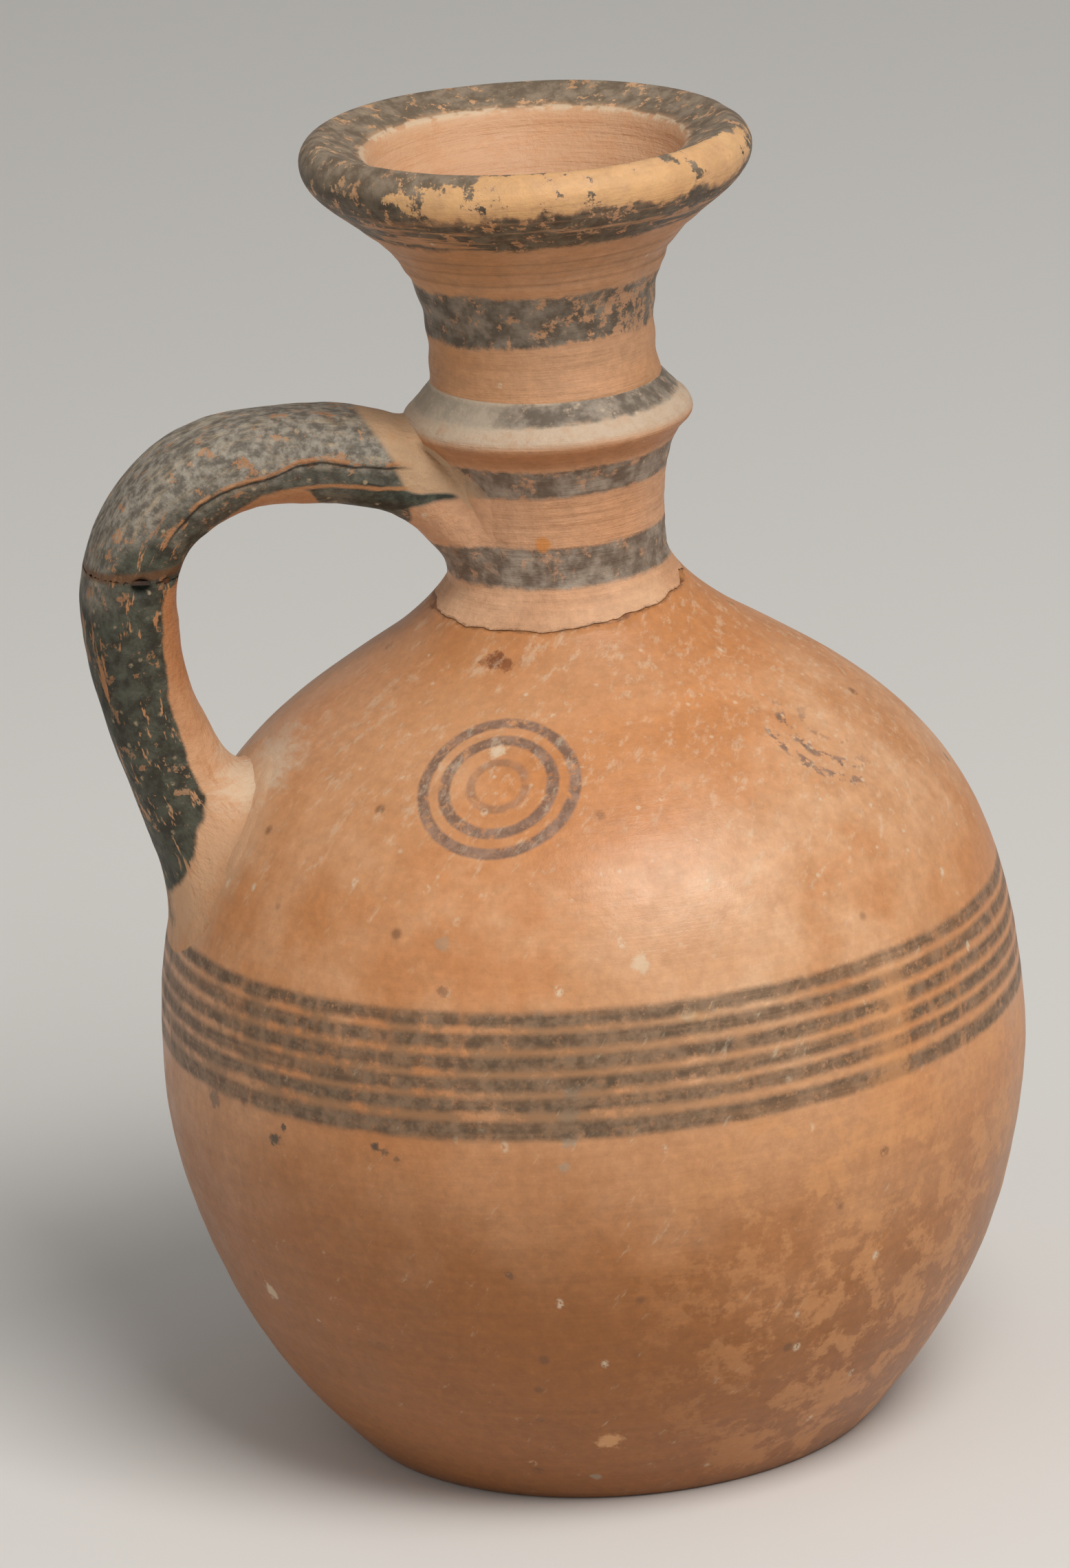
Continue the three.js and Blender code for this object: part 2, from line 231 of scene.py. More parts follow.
def reshape(piece: Piece, move: Callable[[Vector], Vector]) -> None:
    """Moves each point of a piece by a rule.

    Args:
        piece: The piece to change.
        move: Takes a point in millimetres and gives its new place.
    """
    for vertex in piece.data.vertices:
        vertex.co = move(vertex.co / MM) * MM
    piece.data.update()


def write(piece: Piece, name: str, values: Sequence[float]) -> None:
    """Writes a list of numbers on the points of a piece, for its material to read."""
    piece.data.attributes.new(name, "FLOAT", "POINT").data.foreach_set("value", values)


def tag(piece: Piece, name: str, value: Callable[[Vector], float]) -> None:
    """Writes a number on each point of a piece by a rule.

    Args:
        piece: The piece.
        name: The attribute's name.
        value: Takes a point in millimetres and gives its number.
    """
    write(piece, name, [value(vertex.co / MM) for vertex in piece.data.vertices])


def smooth(piece: Piece, angle: float = 50.0) -> None:
    """Shades a piece smooth, apart from edges sharper than an angle in degrees."""
    pick(piece)
    bpy.ops.object.shade_smooth_by_angle(angle=math.radians(angle))


def hand_over(piece: Piece, material: bpy.types.Material, slot: Slot, *nodes: str) -> None:
    """Dresses a finished piece and lets it stand for its construction solids.

    Args:
        piece: The finished piece.
        material: Its finish.
        slot: Not used.
        nodes: The solids that it stands for.
    """
    piece.data.materials.append(material)
    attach(piece, BODY)
    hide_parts(*nodes)
    log.info("%s: %d points", piece.name, len(piece.data.vertices))


def turn(name: str, outline: Sequence[Vector], steps: int) -> Piece:
    """Turns an outline round the vessel's axis, as on a wheel.

    Args:
        name: The piece's name.
        outline: Points of radius and height, from axis to axis or closed on itself.
        steps: How many steps make the whole turn.

    Returns:
        The turned piece, a closed shell.
    """
    pick_none()
    bpy.ops.mesh.primitive_plane_add(size=MM, location=(0, 0, 0))
    piece = newly_made(name)
    bpy.ops.object.mode_set(mode="EDIT")
    bpy.ops.mesh.select_mode(type="VERT")
    bpy.ops.mesh.select_all(action="SELECT")
    bpy.ops.mesh.merge(type="CENTER")
    bpy.ops.transform.translate(value=(outline[0].x * MM, 0, outline[0].y * MM))
    for here, there in zip(outline, outline[1:]):
        step = (there - here) * MM
        bpy.ops.mesh.extrude_vertices_move(TRANSFORM_OT_translate={"value": (step.x, 0, step.y)})
    bpy.ops.mesh.select_all(action="SELECT")
    bpy.ops.mesh.spin(steps=steps, angle=2 * math.pi, center=(0, 0, 0), axis=(0, 0, 1))
    bpy.ops.mesh.select_all(action="SELECT")
    bpy.ops.mesh.remove_doubles(threshold=0.002 * MM)
    bpy.ops.mesh.normals_make_consistent(inside=False)
    bpy.ops.object.mode_set(mode="OBJECT")
    return piece


# The vessel's form


@dataclass(frozen=True)
class VesselOutline:
    """The vessel's turned outline and its old break, in millimetres and degrees."""

    base_radius: float = 17.6
    base_flare: float = 44.0
    base_run: float = 14.5
    belly_radius: float = 29.1
    belly_height: float = 26.5
    belly_run_below: float = 3.5
    belly_run_above: float = 17.9
    shoulder_radius: float = 12.9
    shoulder_height: float = 54.4
    shoulder_slope: float = 33.0
    shoulder_run: float = 10.4
    waist_radius: float = 7.15
    waist_rise: float = 6.2
    corner_run: float = 2.2
    bore_radius: float = 4.6
    neck_run: float = 5.4
    collar_radius: float = 9.6
    collar_rise: float = 9.3
    collar_nose: float = 0.8
    collar_underside: float = 50.0
    collar_underside_run: float = 1.8
    seat_radius: float = 7.65
    seat_rise: float = 2.4
    break_rise: float = 3.8
    break_sway: float = 0.8
    break_dip: float = -33.0
    hairline: float = 0.05
    gape_direction: float = 19.0
    gape_span: float = 13.0
    gape_width: float = 0.26
    gape_notches: float = 0.4
    break_ends: tuple[float, ...] = (72.0, -91.0)
    end_span: float = 11.0
    end_width: float = 0.6
    lean: float = 0.45
    lean_towards: float = -98.0
    lean_run: float = 30.0

    @property
    def waist_height(self) -> float:
        """Height of the neck's narrowest place."""
        return self.shoulder_height + self.waist_rise

    @property
    def collar_height(self) -> float:
        """Height of the collar's nose."""
        return self.waist_height + self.collar_rise

    @property
    def seat_height(self) -> float:
        """Height at which the mouth is set on the neck."""
        return self.collar_height + self.seat_rise

    @property
    def break_middle(self) -> float:
        """Middle height of the break in the neck."""
        return self.shoulder_height + self.break_rise

    @cached_property
    def skin(self) -> list[Vector]:
        """The outside from the base's edge to the mouth's seat, as close points."""
        leave = towards(self.base_flare, self.base_run)
        arrive = towards(180 - self.shoulder_slope, self.shoulder_run)
        bend = towards(180 - self.shoulder_slope, self.corner_run)
        nose = Vector((self.collar_radius - self.collar_nose, self.collar_height))
        nose = nose + towards(-self.collar_underside, self.collar_nose)
        under = towards(90 - self.collar_underside, self.collar_underside_run)
        belly = Vector((self.belly_radius, self.belly_height))
        shoulder = Vector((self.shoulder_radius, self.shoulder_height))
        waist = Vector((self.waist_radius, self.waist_height))
        rise = Vector((0, 1))
        tip = Vector((self.collar_radius, self.collar_height))
        back = Vector((self.collar_radius - 0.6 * self.collar_nose,
                       self.collar_height + self.collar_nose))
        base = Vector((self.base_radius, 0))
        strokes = [
            stroke(base, base + leave, belly - rise * self.belly_run_below, belly),
            stroke(belly, belly + rise * self.belly_run_above, shoulder - arrive, shoulder),
            stroke(shoulder, shoulder + bend, waist - rise * self.corner_run, waist),
            stroke(waist, waist + rise * self.neck_run, nose - under, nose),
            stroke(nose, nose + under / 6, tip - rise * 0.4 * self.collar_nose, tip),
            soft_corner(tip, tip + rise * 0.6 * self.collar_nose, back),
            [back, Vector((self.seat_radius, self.seat_height))],
        ]
        return chain(strokes)

    @cached_property
    def table(self) -> tuple[np.ndarray, np.ndarray, np.ndarray]:
        """The skin's radii, heights and lengths from the base, for looking up."""
        places = np.array(self.skin)
        return places[:, 0], places[:, 1], runs_of(places)

    def radius_at(self, height: float) -> float:
        """Gives the skin's radius at a height."""
        radii, heights, _ = self.table
        return float(np.interp(height, heights, radii))

    def spot(self, direction: float, height: float) -> Vector:
        """Gives the point of the skin in a direction and at a height."""
        return around(direction, self.radius_at(height), height)

    def run_at(self, height: float) -> float:
        """Gives the length along the skin from the base to a height."""
        _, heights, run = self.table
        return float(np.interp(height, heights, run))

    def on_skin(self, angle: float, run: float, lift: float = 0.0) -> Vector:
        """Gives a point on the skin.

        Args:
            angle: Its direction round the vessel in degrees.
            run: Its length along the skin from the base.
            lift: How far it is lifted squarely off the skin.

        Returns:
            The point.
        """
        radii, heights, lengths = self.table
        (radius, height), ahead, behind = (
            [float(np.interp(run + shift, lengths, column)) for column in (radii, heights)]
            for shift in (0.0, 0.05, -0.05))
        along = (Vector(ahead) - Vector(behind)).normalized()
        return around(angle, radius + along.y * lift, height - along.x * lift)

    def break_height(self, angle: float) -> float:
        """Gives the wavy height of the neck's break.

        Args:
            angle: A direction round the vessel.

        Returns:
            The height there.
        """
        place = around(angle, 3.0, 0.0)
        teeth = 0.16 * grain(place, 0.55, 3.1) + 0.07 * grain(place, 0.16, 8.4)
        sway = self.break_sway * math.cos(math.radians(angle - self.break_dip))
        return self.break_middle - sway + teeth

    def break_width(self, angle: float) -> float:
        """Gives how wide the break gapes, with notches where it gapes most.

        Args:
            angle: A direction round the vessel.

        Returns:
            The width there.
        """
        place = around(angle, 3.0, 0.0)
        notches = max(0.0, self.gape_width + self.gape_notches * grain(place, 0.3, 1.7))
        chips = nearness(angle, self.gape_direction, self.gape_span) * notches
        ends = sum(self.end_width * nearness(angle, end, self.end_span) for end in self.break_ends)
        return self.hairline + 0.05 * abs(grain(place, 0.4, 5.5)) + chips + ends

    def leaning(self, place: Vector) -> Vector:
        """Gives a point above the break its place on the leaning neck."""
        share = max(0.0, place.z - self.break_middle) / self.lean_run
        return place + around(self.lean_towards, self.lean * share, 0.0)


@dataclass
class Body:
    """The egg-shaped body, up to the break in the neck."""

    outline: VesselOutline
    wall: float = 3.1
    floor: float = 4.2
    hollow: float = 0.35
    edge: float = 0.5
    step: float = 0.55
    turn_steps: int = 270
    slide: float = 3.0
    rim: float = 1.2
    unevenness: float = 0.10
    ridges: float = 0.035

    def lines(self) -> list[Vector]:
        """Gives the outline from the underside's centre up the outside and down the inside.

        Returns:
            Points of radius and height.
        """
        form = self.outline
        top, base = form.break_middle, form.base_radius
        outside = evenly([point for point in form.skin if self.edge < point.y < top]
                         + [Vector((form.radius_at(top), top))], self.step)
        under = [Vector(point) for point in (
            (0, self.hollow), (0.5 * base, self.hollow), (0.9 * base, 0.1 * self.hollow),
            (base - 2 * self.edge, 0), (base - 0.4 * self.edge, 0.06),
            (base + 0.15, 0.3 * self.edge))]
        run = form.run_at(top - self.wall)
        inside = []
        while run > 0:
            place = form.on_skin(90, run, -self.wall)
            if place.z > self.floor * 1.2 and place.x > form.bore_radius * 1.1:
                inside.append(Vector((place.x, place.z)))
            run -= 3 * self.step
        throat = [Vector((form.radius_at(top) - self.rim, top)), Vector((form.bore_radius, top)),
                  Vector((form.bore_radius, inside[0].y + self.wall / 3))]
        floor = [Vector((base - self.wall / 3, self.floor)), Vector((0, self.floor))]
        return under + outside + throat + inside + floor

    def settle(self, place: Vector) -> Vector:
        """Gives a point its hand-made unevenness, and slides the top onto the break.

        Args:
            place: The point as it was turned.

        Returns:
            Its new place.
        """
        form = self.outline
        angle = direction_of(place)
        radius = math.hypot(place.x, place.y)
        if radius < form.bore_radius - 0.1 and place.z < self.wall:
            return place
        slide = ramp(form.break_middle - self.slide, form.break_middle, place.z)
        outside = radius > form.radius_at(place.z) - 0.2
        broken, gap = form.break_height(angle), form.break_width(angle)
        height = place.z + slide * (broken - gap / 2 - form.break_middle)
        if outside:
            radius += form.radius_at(height) - form.radius_at(place.z)
            facing = around(angle, 8.0, place.z)
            calm = 1 - ramp(form.shoulder_height, form.break_middle, place.z)
            rings = self.ridges * grain(Vector((0, 0, place.z)), 1.6, 4.0)
            uneven = self.unevenness * grain(facing, 9.0) + rings - self.unevenness
            radius += uneven * calm * ramp(0.0, 3.0, place.z)
            if height > form.break_middle - 1.6:
                radius -= 0.8 * max(0.0, gap - 0.2) * ramp(0.9, 0.0, broken - height)
        return around(angle, radius, height)

    def build(self) -> Piece:
        """Makes the body's shell.

        Returns:
            The piece.
        """
        piece = turn("body_shell", self.lines(), self.turn_steps)
        reshape(piece, self.settle)
        form = self.outline
        tag(piece, "above_break", lambda place: place.z - form.break_height(direction_of(place)))
        smooth(piece)
        return piece


@dataclass
class Neck:
    """The neck from the break to the mouth's seat, with its collar."""

    outline: VesselOutline
    step: float = 0.22
    lap: float = 0.35
    tuck: float = 0.13
    turn_steps: int = 260
    slide: float = 2.2
    rim: float = 1.2
    unevenness: float = 0.07
    ridges: float = 0.05

    def lines(self) -> list[Vector]:
        """Gives the closed outline, from the break's outer edge upwards.

        Returns:
            Points of radius and height.
        """
        form = self.outline
        low, top = form.break_middle, form.seat_height
        edge = Vector((form.radius_at(low), low))
        outside = evenly([edge] + [point for point in form.skin if point.y > low], self.step)
        inside = [Vector(point) for point in (
            (form.seat_radius - self.tuck, top + self.lap), (form.bore_radius, top),
            (form.bore_radius, low), (edge.x - self.rim, low))]
        return outside + inside + [outside[0]]

    def settle(self, place: Vector) -> Vector:
        """Slides the foot onto the break and gives the outside its wheel marks.

        Args:
            place: The point as it was turned.

        Returns:
            Its new place.
        """
        form = self.outline
        angle = direction_of(place)
        radius = math.hypot(place.x, place.y)
        slide = 1 - ramp(form.break_middle, form.break_middle + self.slide, place.z)
        outside = radius > form.radius_at(place.z) - 0.2 and place.z < form.seat_height + 0.01
        edge = form.break_height(angle) + form.break_width(angle) / 2
        height = place.z + slide * (edge - form.break_middle)
        if outside:
            radius += form.radius_at(height) - form.radius_at(place.z)
            facing = around(angle, 8.0, place.z)
            calm = 1 - ramp(form.seat_height - 0.8, form.seat_height, place.z)
            drawn = Vector((facing.x * 0.05, facing.y * 0.05, place.z))
            rings = self.ridges * grain(drawn, 0.5, 6.0)
            uneven = self.unevenness * grain(facing, 4.0, 2.0) - self.ridges + rings
            radius += uneven * calm * (1 - slide)
        return form.leaning(around(angle, radius, height))

    def build(self) -> Piece:
        """Makes the neck's shell.

        Returns:
            The piece.
        """
        piece = turn("neck_shell", self.lines(), self.turn_steps)
        form = self.outline
        bore = form.bore_radius + 1
        tag(piece, "inner", lambda place: float(math.hypot(place.x, place.y) < bore))
        reshape(piece, self.settle)
        tag(piece, "above_break", lambda place: place.z - form.break_height(direction_of(place)))
        smooth(piece)
        return piece


@dataclass
class Mouth:
    """The flared mouth with its thick lip, which leans a little."""

    outline: VesselOutline
    waist_radius: float = 7.45
    waist_rise: float = 2.4
    flare_radius: float = 11.9
    flare_rise: float = 9.4
    flare_slope: float = 40.0
    flare_run: float = 3.0
    lip_radius: float = 14.95
    lip_rise: float = 3.7
    lip_run: float = 1.6
    rim_rise: float = 1.6
    rim_radius: float = 13.5
    edge_radius: float = 10.5
    edge_drop: float = 1.3
    edge_round: float = 0.5
    funnel_depth: float = 12.5
    tilt: float = 1.1
    step: float = 0.26
    lap: float = 0.35
    tuck: float = 0.03
    turn_steps: int = 280
    unevenness: float = 0.16
    chip_depth: float = 0.32
    ridge_depth: float = 0.15
    ridge_size: float = 0.8
    ridges_from: float = 79.0
    ridges_to: float = 86.0

    @property
    def waist_height(self) -> float:
        """Height of the mouth's narrowest place."""
        return self.outline.seat_height + self.waist_rise

    @property
    def rim_height(self) -> float:
        """Height of the rim's top."""
        return self.waist_height + self.flare_rise + self.lip_rise + self.rim_rise

    def lines(self) -> list[Vector]:
        """Gives the closed outline: up the outside, over the lip and down the bore.

        Returns:
            Points of radius and height.
        """
        form = self.outline
        rise, out = Vector((0, 1)), towards(self.flare_slope, 1)
        foot = Vector((form.seat_radius, form.seat_height))
        waist = Vector((self.waist_radius, self.waist_height))
        flare = Vector((self.flare_radius, waist.y + self.flare_rise))
        lip = Vector((self.lip_radius, flare.y + self.lip_rise))
        rim = Vector((self.rim_radius, self.rim_height))
        edge = Vector((self.edge_radius, self.rim_height - self.edge_drop))
        before = edge + Vector((self.edge_round, self.edge_round / 2))
        after = edge - Vector((self.edge_round / 2, 2 * self.edge_round))
        throat = Vector((form.bore_radius, edge.y - self.funnel_depth))
        strokes = [
            soft_corner(foot, (waist.x, foot.y + self.waist_rise / 3), waist),
            stroke(waist, waist + rise * 0.6 * self.flare_rise, flare - out * self.flare_run,
                   flare),
            stroke(flare, flare + out * self.lip_run, lip - rise * self.lip_run, lip),
            stroke(lip, lip + rise * self.rim_rise / 2, ((lip.x + rim.x) / 2, rim.y), rim),
            soft_corner(rim, rim.lerp(before, 0.3), before),
            soft_corner(before, edge, after),
            stroke(after, ((form.bore_radius + edge.x) / 2, edge.y - self.funnel_depth / 2),
                   (throat.x, edge.y - 0.6 * self.funnel_depth), throat),
        ]
        shown = evenly(chain(strokes + [[throat]]), self.step)
        low = form.seat_height - self.lap
        under = Vector((form.seat_radius - self.tuck, low))
        return [under] + shown + [Vector((form.bore_radius, low)), under]

    def settle(self, place: Vector) -> Vector:
        """Leans the mouth, tilts its rim and gives it its unevenness and wear.

        Args:
            place: The point as it was turned.

        Returns:
            Its new place.
        """
        angle = direction_of(place)
        radius = math.hypot(place.x, place.y)
        share = ramp(self.outline.seat_height, self.rim_height, place.z)
        facing = around(angle, 10.0, place.z)
        uneven = self.unevenness * grain(facing, 8.0, 5.0) + 0.05 * grain(facing, 2.2, 9.0)
        lip = ramp(self.rim_height - 4.5, self.rim_height - 2.0, place.z)
        lip *= ramp(self.edge_radius, self.rim_radius, radius)
        notches = max(0.0, grain(around(angle, 10.0, 0.0), 3.2, 7.0) - 0.25)
        rings = 0.05 * math.sin(place.z * 2.6 + 0.02 * angle)
        rings *= ramp(self.edge_radius, self.edge_radius - 1.5, radius)
        ridges = self.ridge_depth * noise.noise(Vector((0.0, 4.0, place.z / self.ridge_size)))
        ridges *= ramp(self.ridges_from, self.ridges_from + 1.5, place.z)
        ridges *= ramp(self.ridges_to, self.ridges_to - 2.0, place.z)
        radius += (uneven - 0.12) * share - self.chip_depth * notches * lip + rings + ridges
        rise = 0.08 * share * grain(around(angle, 9.0, 0.0), 6.0, 2.0)
        moved = around(angle, radius, place.z + rise - 0.05 * share)
        aside = around(self.outline.lean_towards, 1.0, 0.0)
        slope = math.tan(math.radians(self.tilt))
        moved.z += (moved.dot(aside) - self.rim_radius) * slope * share
        return self.outline.leaning(moved)

    def inner_at(self, place: Vector) -> float:
        """Gives 1 inside the mouth and 0 outside, rising over a millimetre at its inner edge.

        Args:
            place: The point as it was turned.

        Returns:
            The number there.
        """
        radius = math.hypot(place.x, place.y)
        if place.z < self.rim_height - 2 * self.edge_drop:
            widening = ramp(self.waist_height, self.rim_height, place.z)
            wall = self.outline.bore_radius + 1 + (self.lip_radius - self.waist_radius) * widening
            return float(radius < wall)
        return ramp(self.edge_radius + 1.0, self.edge_radius, radius)

    def build(self) -> Piece:
        """Makes the mouth's shell.

        Returns:
            The piece.
        """
        piece = turn("mouth_shell", self.lines(), self.turn_steps)
        tag(piece, "inner", self.inner_at)
        reshape(piece, self.settle)
        smooth(piece)
        return piece


@dataclass
class NeckGlue:
    """The film of old glue in the neck's break."""

    outline: VesselOutline
    half: float = 0.2
    bore_gap: float = 0.35
    setback: float = 0.12
    bulge: float = 0.1
    turn_steps: int = 200

    def build(self) -> Piece:
        """Makes the film, which swells where the break gapes.

        Returns:
            The piece.
        """
        form = self.outline
        middle = form.break_middle
        low, high = middle - self.half, middle + self.half
        inner, outer = form.bore_radius + self.bore_gap, form.radius_at(middle)
        lines = [Vector(point) for point in (
            (inner, low), (outer, low), (outer, middle), (outer, high), (inner, high),
            (inner, low))]
        piece = turn("neck_glue_film", lines, self.turn_steps)

        def settle(place: Vector) -> Vector:
            """Lays a point of the film along the break.

            Args:
                place: The point as it was turned.

            Returns:
                Its new place.
            """
            angle = direction_of(place)
            height = form.break_height(angle) + place.z - middle
            radius = math.hypot(place.x, place.y)
            if radius > outer - 0.1:
                swell = self.bulge * ramp(0.35, 0.5, form.break_width(angle))
                radius = form.radius_at(height) - self.setback + swell
            return around(angle, radius, height)

        reshape(piece, settle)
        smooth(piece)
        return piece


# The handle


@dataclass(frozen=True)
class HandleForm:
    """The handle's line, section and flared roots, in millimetres and degrees."""

    outline: VesselOutline
    width: float = 8.6
    thickness: float = 6.6
    root_width: float = 10.0
    root_thickness: float = 5.8
    foot_width: float = 12.0
    foot_thickness: float = 9.7
    squareness: float = 2.5
    root_drop: float = 5.1
    root_rise: float = 53.0
    crown_drop: float = 3.3
    crown_reach: float = 11.9
    foot_drop: float = 10.2
    foot_lean: float = 65.4
    bow: float = 4.0
    bow_drop: float = 10.0
    bend: float = 0.6
    spread: float = 0.3
    break_drop: float = 6.6
    break_slope: float = 6.0
    fineness: float = 0.1
    crease: tuple[tuple[float, float], ...] = (
        (0.14, 0.4), (0.164, 0.28), (0.186, 0.16), (0.227, 0.09), (0.262, 0.16), (0.294, 0.09),
        (0.317, -0.09), (0.335, -0.16), (0.425, -0.16), (0.454, -0.23), (0.52, -0.23))

    @property
    def root_height(self) -> float:
        """Height of the root's middle."""
        return self.outline.collar_height - self.root_drop

    @property
    def crown_height(self) -> float:
        """Height of the centreline's highest place."""
        return self.outline.seat_height - self.crown_drop

    @property
    def foot_height(self) -> float:
        """Height of the foot's middle."""
        return self.outline.shoulder_height - self.foot_drop

    @property
    def break_height(self) -> float:
        """Height of the break's middle."""
        return self.crown_height - self.break_drop

    @cached_property
    def line(self) -> list[Vector]:
        """The centreline from inside the neck to inside the body, as evenly placed points."""
        form = self.outline
        root = Vector((-form.waist_radius, 0, self.root_height))
        crown = Vector((-form.waist_radius - self.crown_reach, 0, self.crown_height))
        foot = Vector((-form.radius_at(self.foot_height), 0, self.foot_height))
        bow = Vector((foot.x - self.bow, 0, self.crown_height - self.bow_drop))
        leave, arrive = towards(180 - self.root_rise, 1), towards(-self.foot_lean, 1)
        leaving, arriving = Vector((leave.x, 0, leave.y)), Vector((arrive.x, 0, arrive.y))
        out, down = Vector((-1, 0, 0)), Vector((0, 0, -1))
        root_run = (crown - root).length / 3
        foot_run = (foot - bow).length / 3
        bend_out = abs(bow.x - crown.x) * self.bend
        bend_down = (crown.z - bow.z) * self.bend
        strokes = [
            [root - leaving * root_run, root],
            stroke(root, root + leaving * root_run, crown - out * root_run, crown),
            stroke(crown, crown + out * bend_out, bow - down * bend_down, bow),
            stroke(bow, bow + down * foot_run, foot - arriving * foot_run, foot),
            [foot, foot + arriving * foot_run],
        ]
        return evenly(chain(strokes), self.fineness)

    @cached_property
    def step(self) -> float:
        """Distance between the centreline's points."""
        whole = sum((there - here).length for here, there in zip(self.line, self.line[1:]))
        return whole / (len(self.line) - 1)

    @property
    def length(self) -> float:
        """Length of the centreline."""
        return self.step * (len(self.line) - 1)

    def centre(self, run: float) -> Vector:
        """Gives a point of the centreline.

        Args:
            run: Its length from the start.

        Returns:
            The point.
        """
        place = min(max(run / self.step, 0.0), len(self.line) - 1.001)
        index = int(place)
        return self.line[index].lerp(self.line[index + 1], place - index)

    def outward(self, run: float) -> Vector:
        """Gives the direction of the handle's outer face.

        Args:
            run: Length along the centreline.

        Returns:
            The direction there.
        """
        ahead, behind = min(self.length, run + 0.4), max(0.0, run - 0.4)
        along = (self.centre(ahead) - self.centre(behind)).normalized()
        return Vector((0, 1, 0)).cross(along).normalized()

    def spread_at(self, share: float, middle: float, root: float, foot: float) -> float:
        """Grows from the handle's own size in its middle to the size of its root or foot.

        Args:
            share: Place along the handle, from 0 to 1.
            middle: The size in the middle.
            root: The size at the root.
            foot: The size at the foot.

        Returns:
            The size there.
        """
        near_root = max(0.0, 1 - share / self.spread) ** 2
        near_foot = max(0.0, 1 - (1 - share) / self.spread) ** 2
        return middle + (root - middle) * near_root + (foot - middle) * near_foot

    def section(self, turn_angle: float) -> tuple[float, float]:
        """Gives a point of the unit section.

        Args:
            turn_angle: Place round the section in radians, 0 towards +Y and a quarter turn outward.

        Returns:
            Its sideways and its outward share, each from -1 to 1.
        """
        power = 2 / self.squareness
        side, out = math.cos(turn_angle), math.sin(turn_angle)
        return math.copysign(abs(side) ** power, side), math.copysign(abs(out) ** power, out)

    def surface(self, run: float, turn_angle: float) -> Vector:
        """Gives a point on the plain handle.

        Args:
            run: Length along the centreline.
            turn_angle: Place round the section in radians, 0 towards +Y and a quarter turn outward.

        Returns:
            The point.
        """
        share = run / self.length
        side, out = self.section(turn_angle)
        wide = self.spread_at(share, self.width, self.root_width, self.foot_width)
        thick = self.spread_at(share, self.thickness, self.root_thickness, self.foot_thickness)
        sideways = Vector((0, side * (wide / 2), 0))
        return self.centre(run) + sideways + self.outward(run) * (out * (thick / 2))

    def inside_vessel(self, place: Vector) -> bool:
        """Tells whether a point lies inside the vessel's skin."""
        return math.hypot(place.x, place.y) < self.outline.radius_at(place.z)

    def crossing(self, turn_angle: float, at_foot: bool) -> float:
        """Finds the length at which a line along the handle's surface meets the vessel.

        Args:
            turn_angle: The line's place round the section.
            at_foot: Whether to look at the foot and not at the root.

        Returns:
            The length along the centreline.
        """
        inner, outer = (self.length, 0.6 * self.length) if at_foot else (0.0, 0.4 * self.length)
        for _ in range(24):
            middle = (inner + outer) / 2
            if self.inside_vessel(self.surface(middle, turn_angle)):
                inner = middle
            else:
                outer = middle
        return (inner + outer) / 2

    def beside(self, corner: Vector, centre_run: float, reach: float, lift: float) -> Vector:
        """Gives a point of the skin, straight away from the middle of a root.

        Args:
            corner: A point where the handle meets the skin.
            centre_run: The root's middle, as a length along the skin on the handle's side.
            reach: How far beyond the corner the point lies.
            lift: How far it is lifted off the skin.

        Returns:
            The point.
        """
        form = self.outline
        radius = math.hypot(corner.x, corner.y)
        run = form.run_at(corner.z)
        across = math.radians(apart(direction_of(corner), -90)) * radius
        away = Vector((across, run - centre_run))
        away = away + away.normalized() * reach
        return form.on_skin(-90 + math.degrees(away.x / radius), centre_run + away.y, lift)


@dataclass(frozen=True)
class Chip:
    """A small hollow where clay has broken away, by its middle, its radius and its depth."""

    x: float
    y: float
    above_break: float
    radius: float
    depth: float

    def depth_at(self, place: Vector, break_height: float) -> float:
        """Gives the hollow's depth at a point, with an uneven edge.

        Args:
            place: The point.
            break_height: Height of the handle's break.

        Returns:
            The depth there.
        """
        middle = Vector((self.x, self.y, break_height + self.above_break))
        away = (place - middle).length * (1 + 0.3 * grain(place, 0.8, 6.0))
        return self.depth * ramp(self.radius, 0.45 * self.radius, away)


